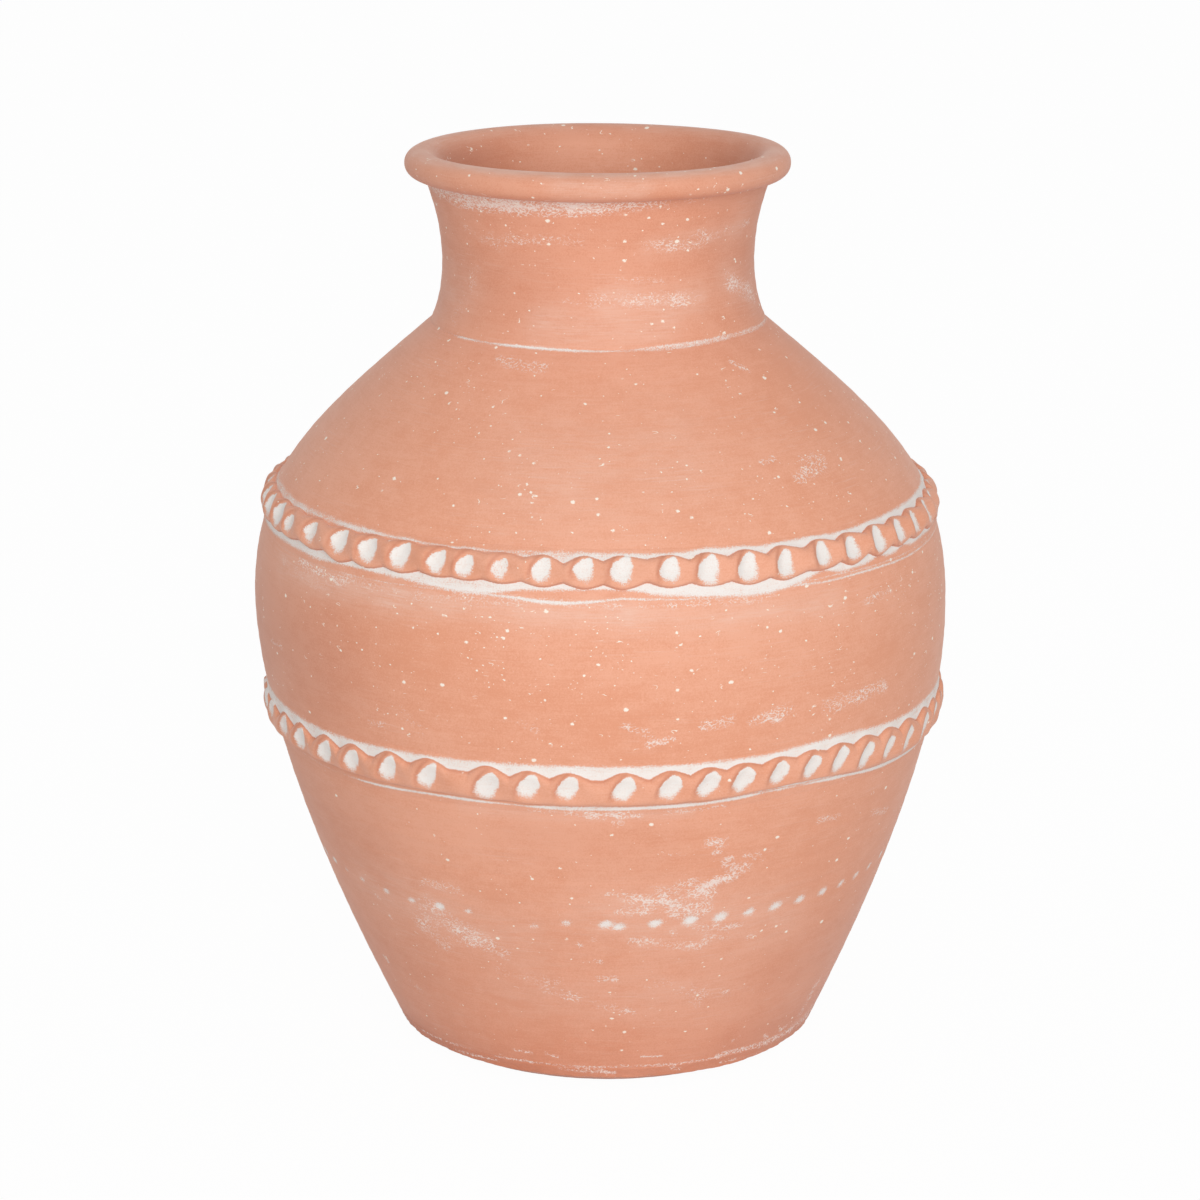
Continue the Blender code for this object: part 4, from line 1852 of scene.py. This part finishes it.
def lower_cordon(form: VaseForm) -> Cordon:
    """The cordon over the seam between lower wall and belly."""
    return Cordon(
        node="lower_cordon",
        seam=form.lower_seam,
        front=front_presses(
            -80.4, -74, -66.3, -59.5, -51.5, -44.4, -36.2, -28.6, -18.3, -11.6, -5.4, 3.3, 10.5, 16.6,
            22.4, 28.7, 34.9, 40.8, 47.1, 53.3, 59.8, 67, 72.8, 79,
            small={
                -18.3: (1.12, 1), -11.6: (1, 1), -5.4: (0.98, 0.97), -66.3: (0.9, 0.85), -74: (0.9, 0.8),
                53.3: (0.92, 0.95), 59.8: (0.92, 0.9),
            },
        ),
        press_top=5.9,
        dip_top=around(
            (-80, 2.2), (-47, 2.2), (-40, 2.2), (-32, 2.7), (-24, 2.6), (-15, 2.5), (0, 2.7), (14, 2.8),
            (20, 3.3), (26, 3.6), (38, 3.6), (50, 3), (80, 2.6), (180, 2.4),
        ),
        press_bottom=level(-6.7),
        dip_bottom=level(-6.2),
        crown=4.0,
        sag=0.8,
        hollow_depth=2.15,
        hollow_across=(3.6, 8.2),
        hollow_along=6.0,
        patch_across=(3.7, 3.8),
        patch_along=around(
            (-80, 5.2), (-59.5, 5.2), (-51.5, 5.4), (-44.4, 5.2), (-36.2, 5.4), (-28.6, 5.3),
            (-18.3, 5.6), (-11.6, 5.1), (-5.4, 5), (3.3, 4.9), (10.5, 5.1), (16.6, 5.3), (22.4, 5.3),
            (28.7, 4.85), (34.9, 4.9), (40.8, 5.2), (47.1, 5.4), (53.3, 5.1), (59.8, 5.6), (80, 5.4),
            (180, 5.4),
        ),
        patch_width=around(
            (-80, 0.92), (-59.5, 0.86), (-51.5, 0.88), (-44.4, 0.82), (-36.2, 0.82), (-28.6, 0.78),
            (-18.3, 0.9), (-5.4, 0.97), (10.5, 0.98), (22.4, 0.98), (28.7, 0.96), (34.9, 0.9),
            (47.1, 0.9), (53.3, 0.94), (60, 1), (70, 1.05), (180, 0.95),
        ),
        patch_lean=around((-80, 0.1), (-40, 0.02), (-12, 0), (0, 0), (20, 0.04), (60, 0.08), (180, 0)),
        ragged_turn=0.95,
        patch_power=2.35,
        taper=around((-80, 0.15), (-40, 0.22), (-18, 0.24), (-8, 0.1), (10, 0), (80, 0), (180, 0.1)),
        tilt=around(
            (-80, 36), (-62, 38), (-51.5, 38), (-44.4, 38), (-36.2, 30), (-28.6, 35), (-18.3, 32),
            (-11.6, 38), (-3, 36), (10, 41), (40, 38), (60, 30), (80, 28), (140, 34), (200, 38),
            (250, 36),
        ),
        skew=around((-80, 0), (-20, 0.1), (20, 0.3), (50, 0.55), (90, 0.5), (150, 0.3), (220, 0.1)),
        offset=around(
            (-75, -1.3), (-50, -1.4), (-44.4, -1.1), (-36.2, 0.1), (-28.6, 0.5), (-18.3, 0.4), (-11, 0),
            (0, 0), (20, 0.6), (35, 1.2), (50, 0.8), (70, -0.3), (130, -0.4), (200, 0.5), (250, 0.2),
        ),
        lift=around(
            (-80, 0.5), (-44.4, 0.45), (-36.2, -0.45), (-28.6, -0.6), (-18.3, -0.6), (-11, -0.45),
            (0, -0.5), (14, -0.6), (20, -0.5), (25, 0.2), (32, 0.6), (40, 0), (48, -1.5), (60, -1.6),
            (80, -1.2), (130, -0.4), (200, 0), (250, 0.4),
        ),
        middle=around(
            (-80.4, 1.8), (-74, 3), (-66.3, 1.1), (-59.5, 0.5), (-51.5, 0), (-44.4, 0.3), (-36.2, 0.1),
            (-28.6, -0.1), (-18.3, -1), (-11.6, 0.5), (-5.4, 0.7), (3.3, 0.2), (10.5, 0.05),
            (16.6, -0.05), (22.4, 0.2), (28.7, 0.4), (34.9, 0.1), (40.8, 0.2), (47.1, -1.2), (53.3, -1.3),
            (59.8, -1.5), (75, -0.8), (180, -0.2),
        ),
        crease=level(0.36),
        skirt_top=9.6,
        skirt_bottom=-13.6,
        under_shade=0.85,
        under_width=22.0,
        arch=8.0,
        pitch=6.62,
        seed=31,
    )  # fmt: skip


def slip_bands(form: VaseForm) -> tuple[Band, Band]:
    """The slip packed along the edges of the two cordons, the upper one first."""
    upper = form.upper_seam.height / MM
    lower = form.lower_seam.height / MM
    upper_band = Band(
        low=raised(
            upper, (-80, -8.6), (-66, -8.5), (-59, -8.5), (-53, -9), (-47, -8.2), (-42, -7.8),
            (-36, -8.1), (-30, -8.8), (-24.5, -9.9), (-18, -9.9), (-12.6, -7.8), (-5, -7.1), (1, -6.8),
            (5, -7.2), (8.2, -8.8), (15, -10.3), (21, -11.4), (27, -11.9), (31, -11), (34.5, -9.4),
            (38.6, -7.3), (41.5, -8.9), (45.6, -8.9), (49, -8.7), (51.9, -7.2), (54.6, -8.5),
            (57.4, -8.4), (59.5, -7.1), (62.5, -8.4), (68, -8.3), (74, -8.4), (80, -8), (140, -9.6),
            (190, -8.4), (240, -9.4),
        ),
        high=raised(
            upper, (-80, 6), (-55, 5.6), (-30, 5.4), (-13.5, 4.9), (-9, 5.9), (0, 5.7), (8.6, 5.2),
            (12, 4.8), (17, 5.7), (23, 5.2), (29, 4.7), (35, 5), (44, 4.2), (53, 4.9), (60, 5), (71, 5.3),
            (85, 5.4), (150, 5.4), (220, 5.6),
        ),
        cover_low=around(
            (-80, 0.86), (-50, 0.93), (-20, 0.95), (0, 0.93), (14, 0.98), (30, 0.92), (36, 0.9),
            (60, 0.92), (80, 0.88), (180, 0.9),
        ),
        cover_high=around(
            (-80, 0.2), (-40, 0.1), (-20, 0.15), (-12, 0.45), (-4, 0.62), (8, 0.7), (16, 0.88),
            (30, 0.93), (60, 0.96), (80, 0.92), (180, 0.7),
        ),
        soft_low=1.1,
        soft_high=1.1,
        spill=0.3,
    )
    lower_band = Band(
        low=level(136.0),
        high=raised(
            lower, (-75, 7.8), (-50, 6.2), (-30, 7.2), (-8, 8.3), (10, 8.1), (25, 8.3), (40, 10.1),
            (55, 8.2), (72, 8.9), (140, 7.8), (220, 8.2),
        ),
        cover_low=level(0.95),
        cover_high=around(
            (-80, 0.68), (-50, 0.78), (-20, 0.87), (0, 0.9), (40, 0.88), (70, 0.74), (180, 0.78),
        ),
        soft_high=1.3,
        spill=0.4,
    )
    return upper_band, lower_band  # fmt: skip


def rubbed_lip() -> Band:
    """The chalk rubbed off under the rolled rim."""
    return Band(
        low=around(
            (-80, 346.6), (-54, 345), (-34, 345), (-12, 345.6), (8, 346.8), (28, 348.6), (60, 350),
            (130, 349), (200, 346.5), (250, 348),
        ),
        high=level(353.0),
        cover_low=around(
            (-80, 0.45), (-50, 0.7), (-30, 0.74), (0, 0.7), (12, 0.56), (30, 0.34), (50, 0.2),
            (180, 0.55),
        ),
        cover_high=around(
            (-80, 0.5), (-50, 0.88), (-30, 0.86), (0, 0.78), (12, 0.6), (30, 0.36), (50, 0.2), (180, 0.6),
        ),
        soft_low=2.2,
        spill=0.2,
    )  # fmt: skip


def drawn_lines() -> tuple[Scribe, ...]:
    """The lines round the wall: beside the cordons, at the crook, and the pale wisp above the upper one."""
    under_upper = Scribe(
        (
            (-80, 214, 0.8, 0.2), (-58, 213.4, 1, 0.35), (-39.6, 213.8, 0.8, 0.5),
            (-28, 214.6, 0.9, 0.55), (-18, 214.6, 1, 0.66), (-13, 214.2, 1.3, 0.8),
            (-9.4, 213.4, 1.5, 0.92), (-4.6, 213.1, 1.4, 0.92), (-1, 213.7, 1.2, 0.84),
            (2.6, 214.5, 1, 0.8), (8, 214.2, 0.9, 0.75), (20, 213, 0.7, 0.6), (31, 214.2, 0.8, 0.7),
            (39, 213.4, 0.9, 0.86), (48, 213.4, 0.9, 0.86), (60, 212.7, 0.9, 0.8), (71, 213, 0.9, 0.7),
            (120, 214, 0.7, 0.5), (180, 213.2, 0.9, 0.7), (240, 214.2, 0.8, 0.4),
        ),
    )
    right_double = Scribe(
        (
            (-180, 214.6, 0.5, 0), (24, 214.6, 0.5, 0), (33, 214.6, 0.6, 0.7), (39.5, 215, 0.6, 0.75),
            (48, 214.5, 0.7, 0.7), (62, 214.2, 0.7, 0.6), (76, 214.6, 0.6, 0.4), (100, 215, 0.5, 0),
        ),
    )
    under_lower = Scribe(
        (
            (-80, 132.4, 0.8, 0.3), (-73, 132.2, 0.8, 0.36), (-63, 131.8, 0.8, 0.42),
            (-57, 131.4, 0.8, 0.46), (-53, 131.3, 0.7, 0.55), (-50, 131.3, 0.8, 0.4),
            (-46, 131.4, 0.8, 0.66), (-43, 131.5, 1.1, 0.95), (-36, 132.2, 1.2, 0.96),
            (-30, 133, 1.1, 0.9), (-24, 133.2, 1.4, 0.94), (-20, 133.1, 1.3, 0.9), (-16.5, 133.1, 1, 0.7),
            (-12.5, 133, 1, 0.74), (-10, 132.9, 1.5, 0.92), (-4, 132.9, 1.8, 0.84), (0, 132.9, 2, 0.86),
            (3, 132.9, 1.7, 0.95), (8.5, 133, 1.6, 1), (12, 133.1, 1.8, 0.96), (16, 133.3, 1.5, 0.86),
            (20, 133.7, 1.6, 0.96), (24, 134.3, 1.4, 0.96), (27, 134.7, 1, 0.74), (30, 134.9, 1.2, 0.86),
            (33, 134.9, 0.9, 0.66), (36, 134.7, 1.1, 0.86), (42, 134.2, 1.7, 1), (46, 133.4, 1.3, 0.92),
            (48, 132.9, 1.5, 1), (54, 131.8, 1.9, 0.98), (60, 131.2, 1.8, 0.88), (69, 130.5, 1.5, 0.78),
            (80, 131, 1.2, 0.5), (100, 131.6, 1, 0.8), (130, 132, 1.4, 0.9), (150, 132.6, 0.9, 0.6),
            (180, 132.8, 1.5, 0.9), (205, 132.6, 1, 0.7), (230, 132.8, 1.3, 0.9),
        ),
        depth=0.1,
        soft=0.5,
    )
    crook = Scribe(
        (
            (-80, 294, 0.6, 0.2), (-60, 293.9, 0.9, 0.36), (-50, 293.8, 0.9, 0.82),
            (-42, 293.8, 0.7, 0.72), (-35, 293.9, 0.8, 0.95), (-25, 294, 1.1, 1), (-12.7, 293.8, 0.9, 1),
            (0, 293.6, 0.7, 0.95), (9, 293.6, 0.7, 0.66), (17, 293.9, 2, 0.54), (28, 294.2, 2.3, 0.6),
            (39, 294.5, 2.3, 0.56), (56, 294.7, 2.2, 0.5), (80, 294.2, 1.8, 0.5), (130, 293.8, 1, 0.6),
            (180, 294, 1.2, 0.7), (230, 293.8, 0.8, 0.5),
        ),
        depth=0.3,
        soft=0.5,
    )
    wisp = Scribe(
        (
            (-100, 229.8, 2, 0.3), (-84, 230.3, 2.9, 0.48), (-78, 230.6, 3.2, 0.52),
            (-70, 230.4, 3.2, 0.5), (-63.4, 230.4, 2.9, 0.56), (-59, 230.6, 2.8, 0.54),
            (-55, 230.7, 2.5, 0.5), (-49, 230.4, 2.3, 0.62), (-43.4, 230.2, 2.2, 0.72),
            (-38, 230, 1.8, 0.56), (-33.6, 230.2, 1.6, 0.66), (-29.3, 229.7, 1.4, 0.56),
            (-25.2, 229.4, 1.3, 0.64), (-21.5, 229.7, 1.4, 0.66), (-16, 229.6, 1.3, 0.6),
            (-11, 230.4, 1.4, 0.5), (-6, 230.6, 1.2, 0), (180, 230, 1.6, 0),
        ),
        depth=0.0,
        soft=0.9,
    )
    return under_upper, right_double, under_lower, crook, wisp  # fmt: skip


def chalk_smears() -> tuple[Stroke, ...]:
    """The smears of chalk, part by part of the wall, and like ones on the back."""
    neck = smears(
        (-37.9, 334.2, -6.2, 335.7, 3.6, 0.27), (18.1, 332.9, 37.8, 333.5, 4.6, 0.28),
        (37.7, 334.3, 65.5, 336.1, 3.2, 0.26), (22, 331.5, 34, 332, 2.2, 0.16),
        (0.2, 313.6, 36.4, 311, 5.2, 0.26), (20.1, 312.3, 30.1, 309.9, 2.6, 0.2),
        (-12.9, 312.2, 0.2, 311.7, 2.4, 0.26), (53.9, 315.5, 74, 305.7, 5, 0.38),
        (-52.8, 336.2, -36.6, 331.2, 3.6, 0.22), (6.6, 320.1, 24.6, 318.7, 2, 0.24),
        (-60, 300, -48, 322, 6, 0.22),
    )
    shoulder = smears(
        (-32.2, 289, -16.4, 287.9, 2.4, 0.38), (42.7, 287.3, 46.9, 283.6, 1.4, 0.42),
        (40.4, 249, 48.6, 250.7, 3, 0.34), (43.6, 254.2, 49.8, 253.8, 2.2, 0.32),
        (33.7, 255.6, 37.8, 256.3, 1, 0.62),
    )
    belly = smears(
        (47.3, 202.8, 54, 203.3, 2.4, 0.42), (15.8, 165.7, 20.3, 166.6, 3, 0.46),
        (24, 164.7, 30.4, 168.1, 3, 0.46), (27.5, 163.5, 29.3, 164.9, 1, 0.7),
        (38, 165.6, 50.8, 166.2, 4.2, 0.42), (-39.7, 158.2, -36, 158.4, 1.2, 0.62),
        (-67.9, 175.1, -63.1, 175.8, 2.2, 0.3), (7.1, 158.6, 10.9, 161.4, 1.2, 0.85),
        (-63.8, 209.7, -48.2, 206.2, 4.4, 0.24), (-46.4, 212.6, -29.4, 211.2, 3, 0.27),
        (-29.4, 211.2, -12.5, 212.1, 2.6, 0.26), (-58.1, 212.7, -44.9, 210.3, 1.4, 0.42),
        (-23.4, 215.7, 3.2, 212.1, 2.2, 0.3), (6.3, 212.1, 28.5, 211.4, 2.4, 0.3),
        (-33, 165.4, -29.5, 159.5, 4, 0.26), (-12.5, 167.5, -10.2, 164.7, 2.6, 0.3),
        (3.6, 166.5, 7.4, 163, 2.6, 0.36),
    )
    lower_wall = smears(
        (55, 110.8, 61.8, 107.1, 2.2, 0.4), (39.7, 116.6, 44.8, 115.5, 2.2, 0.35),
        (6.2, 92.6, 8.2, 90.7, 1.8, 0.8), (10.5, 91.5, 12.6, 88.9, 2, 0.7),
        (0.6, 94.5, 4.9, 93.3, 1.8, 0.42), (2.3, 86.2, 8, 86.3, 1.6, 0.5),
        (4.9, 89.9, 18.4, 86.4, 5, 0.34), (13, 84.4, 19, 85.1, 2.4, 0.45), (13.4, 98.1, 16, 98.6, 2, 0.5),
        (17.5, 95.5, 20.1, 97.5, 2, 0.85), (20.1, 97.5, 23.2, 99.7, 2.4, 0.62),
        (23.2, 99.2, 25.9, 101.5, 2.2, 0.45), (16.3, 92.5, 19.9, 92.6, 2, 0.5),
        (17.9, 115.3, 20.9, 115, 2.2, 0.62), (19, 110.2, 20, 111.2, 1.2, 0.55),
        (21.2, 106.3, 22.2, 106.9, 1.5, 0.85), (25, 107.7, 27.8, 107.2, 1.2, 0.55),
        (26.6, 105, 29, 104.5, 1.8, 0.3), (21.5, 104.1, 24.8, 102.9, 3, 0.32),
        (12.9, 75.9, 13.2, 75.3, 1.3, 0.9), (17.1, 77.2, 27.2, 75, 1.8, 0.42),
        (18.1, 67.9, 20, 69, 2, 0.55), (5.1, 73, 16.6, 68.8, 3.4, 0.36), (19.3, 72.7, 24.5, 71, 3, 0.28),
        (29.1, 68, 30.7, 68.5, 1.6, 0.4), (9.1, 96.1, 18, 94.8, 4, 0.26),
        (0.7, 117.2, 3.1, 112.9, 3, 0.16), (10.2, 112.2, 13.8, 111.5, 1.2, 0.3),
        (-12, 131, -2, 131.3, 1.2, 0.36), (-6, 130.6, 6, 130.8, 1.4, 0.46),
        (2, 129.4, 6, 129.2, 1.2, 0.4), (-3, 128.8, 0, 128.6, 1, 0.5), (1.6, 126.4, 3, 126.2, 1.2, 0.6),
        (10, 130.2, 20, 131, 1.2, 0.4), (-5.1, 71.3, -4.9, 70.9, 1.1, 0.8),
        (-2.3, 73.9, -2.1, 73.4, 1, 0.7), (-1.9, 63.3, -0.7, 62.9, 1, 0.85),
        (-2, 54.5, 2.1, 54.5, 1.4, 0.66), (-7.7, 44.7, 5.7, 37.9, 4, 0.23),
        (4.4, 38.5, 5.9, 37.9, 0.9, 0.8), (8.8, 51, 20.5, 46, 6.2, 0.22),
        (26.2, 43.5, 27.3, 42.6, 1, 0.6), (-35.6, 80.5, -27.4, 69.7, 5, 0.38),
        (-39.9, 70.4, -34.3, 60.9, 4, 0.32), (-27.4, 69.7, -20.3, 64.1, 4, 0.33),
        (-35, 91.3, -28.1, 90.8, 3, 0.4), (-60.8, 41.2, -59.2, 39.4, 0.9, 0.75),
        (-40, 78, -26, 68, 9, 0.18), (-51.4, 76.9, -50.4, 75.7, 1.4, 0.5),
        (-49, 68.8, -48.4, 67.3, 1.1, 0.45), (-22.4, 54.2, -9.5, 52.4, 4.6, 0.21),
        (-13, 47.9, -6.6, 45.8, 3, 0.24), (-51.4, 36.2, -48.7, 33, 2.8, 0.28),
        (21, 40.9, 36.1, 42.2, 6, 0.18),
    )
    foot = smears(
        (59.7, 16.7, 61.4, 31.8, 4, 0.36), (-59.4, 7.4, -38.3, 9.4, 0.7, 0.6),
        (-44.9, 5.5, -30.1, 7.2, 0.8, 0.52), (-30.3, 9.2, -20.2, 9.5, 0.6, 0.62),
        (-21.4, 10.2, -19.2, 9.2, 0.7, 0.8), (-23.9, 14.6, -21.9, 14.7, 0.7, 0.66),
        (-20.9, 14.5, -19.3, 14.4, 0.8, 0.9), (-15.3, 14.9, -12.6, 13.8, 1.2, 0.7),
        (-20.2, 9.5, 3.3, 9.6, 0.6, 0.56), (-0.9, 7, 1.9, 6.5, 1, 0.85), (-12.2, 8.1, -1.8, 7, 1.6, 0.4),
        (8.3, 14.7, 13.9, 14.1, 0.45, 0.95), (3.3, 10.1, 18, 9, 0.8, 0.6), (17.1, 7.1, 19.4, 6, 1.1, 0.6),
        (19.1, 9.2, 31.3, 8.8, 0.8, 0.75), (29.8, 9.8, 44.7, 9.2, 1.5, 0.62),
        (30.9, 14.1, 35.1, 17.3, 0.9, 0.4), (44.3, 13.4, 46, 11.4, 0.9, 0.75),
        (44.7, 8.6, 58, 8.2, 1.8, 0.66), (51.2, 12.1, 53.7, 12.6, 0.9, 0.75),
        (58, 9.6, 69.9, 9.2, 2.4, 0.6), (31.3, 5.7, 39.8, 5, 0.8, 0.5),
    )
    back = smears(
        (110, 96, 128, 92, 4, 0.5), (124, 90, 140, 84, 3, 0.6), (129, 92, 134, 94, 2, 0.75),
        (165, 60, 188, 66, 4.5, 0.42), (150, 186, 162, 189, 2.6, 0.45), (205, 172, 216, 168, 3.2, 0.45),
        (238, 196, 246, 197, 2, 0.45), (140, 256, 151, 252, 2.4, 0.5), (196, 268, 214, 270, 2.8, 0.42),
        (232, 244, 238, 247, 1.4, 0.55), (120, 316, 150, 319, 2.8, 0.42), (190, 334, 226, 331, 2.6, 0.42),
        (215, 100, 232, 106, 3.4, 0.5), (219, 103, 224, 105, 1.8, 0.72), (80, 8.6, 120, 9.2, 1, 0.6),
        (120, 9, 175, 9.4, 0.8, 0.62), (190, 9, 240, 9.4, 0.8, 0.6), (250, 8, 290, 9, 0.8, 0.55),
    )
    return neck + shoulder + belly + lower_wall + foot + back  # fmt: skip


def soft_hazes() -> tuple[Stroke, ...]:
    """The thin pale hazes over broad stretches of the wall."""
    return smears(
        (-34, 209.5, 4, 209, 5, 0.42), (4, 207, 40, 206, 5, 0.34), (-64, 208, -34, 209, 6, 0.42),
        (-24, 129, 14, 129.5, 2.5, 0.25), (-14, 256, 16, 262, 24, 0.22), (-10, 356, 12, 357, 6, 0.3),
        (-50, 80, -16, 72, 14, 0.3), (0, 84, 34, 76, 16, 0.3), (-20, 44, 24, 44, 14, 0.2),
        (110, 208, 200, 208, 5, 0.36), (150, 128, 230, 127, 5, 0.28), (4, 313, 38, 310.5, 6, 0.36),
        (-20, 303, 24, 302, 7, 0.36), (52, 318, 72, 308, 7, 0.3), (-80, 304, -55, 312, 12, 0.25),
        (18, 332.5, 60, 335, 5, 0.26),
    )  # fmt: skip


def painted_shade_patches() -> tuple[Stroke, ...]:
    """Broad stretches of painted shade: mostly the left side, away from the lamp, and some on the neck and
    low down.
    """
    return smears(
        (-90, 176, -50, 178, 34, 0.38), (-90, 104, -48, 98, 26, 0.22), (-80, 50, -45, 46, 20, 0.14),
        (42, 46, 75, 50, 18, 0.16), (34, 16, 75, 18, 10, 0.2), (-14, 119, 8, 117, 14, 0.1),
        (-58, 318, -25, 314, 16, 0.16), (48, 330, 70, 312, 14, 0.14), (-80, 7, -24, 5, 6, 0.3),
        (150, 180, 210, 176, 30, 0.18), (170, 70, 230, 80, 24, 0.18),
    )  # fmt: skip


def clay_marks(form: VaseForm) -> ClayMarks:
    """Every mark on the wall, as the photograph shows it, with like marks on the unseen side."""
    return ClayMarks(
        form, slip_bands(form), rubbed_lip(), drawn_lines(), DotRing(), chalk_smears(), soft_hazes(),
        painted_shade_patches(),
    )  # fmt: skip


def wall_sections(form: VaseForm) -> tuple[WallSection, ...]:
    """The four turned walls, from the foot up."""
    foot, lower, upper, crook, lip = (
        ring.height / MM
        for ring in (form.foot, form.lower_seam, form.upper_seam, form.shoulder_end, form.lip)
    )
    body, inside = form.body, form.body_inside
    _, lower_in, _, upper_in, crook_in = (ring.height / MM for ring in inside.stations)
    return (
        WallSection(
            "lower_wall", body, inside,
            spaced(lower, (128.0, 0.5), (112.0, 1.6), (70.0, 0.85), (16.0, 1.6), (foot, 0.4)),
            spaced(foot, (lower_in, 9.0)),
        ),
        WallSection(
            "belly_wall", body, inside,
            spaced(upper, (209.0, 0.45), (155.0, 1.5), (lower, 0.5)),
            spaced(lower_in, (upper_in, 7.0)),
        ),
        WallSection(
            "shoulder_wall", body, inside,
            spaced(crook, (291.0, 0.25), (236.0, 0.9), (upper, 0.5)),
            spaced(upper_in, (crook_in, 5.0)),
        ),
        WallSection(
            "neck_collar", form.neck, form.neck_inside,
            spaced(lip, (341.0, 0.5), (298.0, 0.8), (crook, 0.25)),
            spaced(crook_in, (lip, 2.0)),
        ),
    )  # fmt: skip


def main() -> None:
    """Build and dress every piece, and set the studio."""
    logging.basicConfig(level=logging.INFO, format="%(name)s: %(message)s")
    form = VaseForm()
    marks = clay_marks(form)
    effects = ClayEffects()
    finishes = {
        finish.slot: finish.material(effects)
        for finish in (
            ClayFinish(Slot.BODY),
            ClayFinish(Slot.FOOT, roughness=0.78, wiping=0.3),
            ClayFinish(Slot.RIM, speck_density=0.9, wiping=0.25),
            ClayFinish(Slot.CORDON, speck_density=0.3, wiping=0.15),
        )
    }
    for part in (*wall_sections(form), lower_cordon(form), upper_cordon(form), RimRoll(), BaseDisc()):
        piece = part.build(form, marks)
        part.dress(piece, finishes)
        LOG.info("%s: %d faces", piece.name, len(piece.data.polygons))

    studio = Studio()
    studio.build_floor()
    studio.build_light()
    studio.build_camera()


if __name__ == "__main__":
    main()
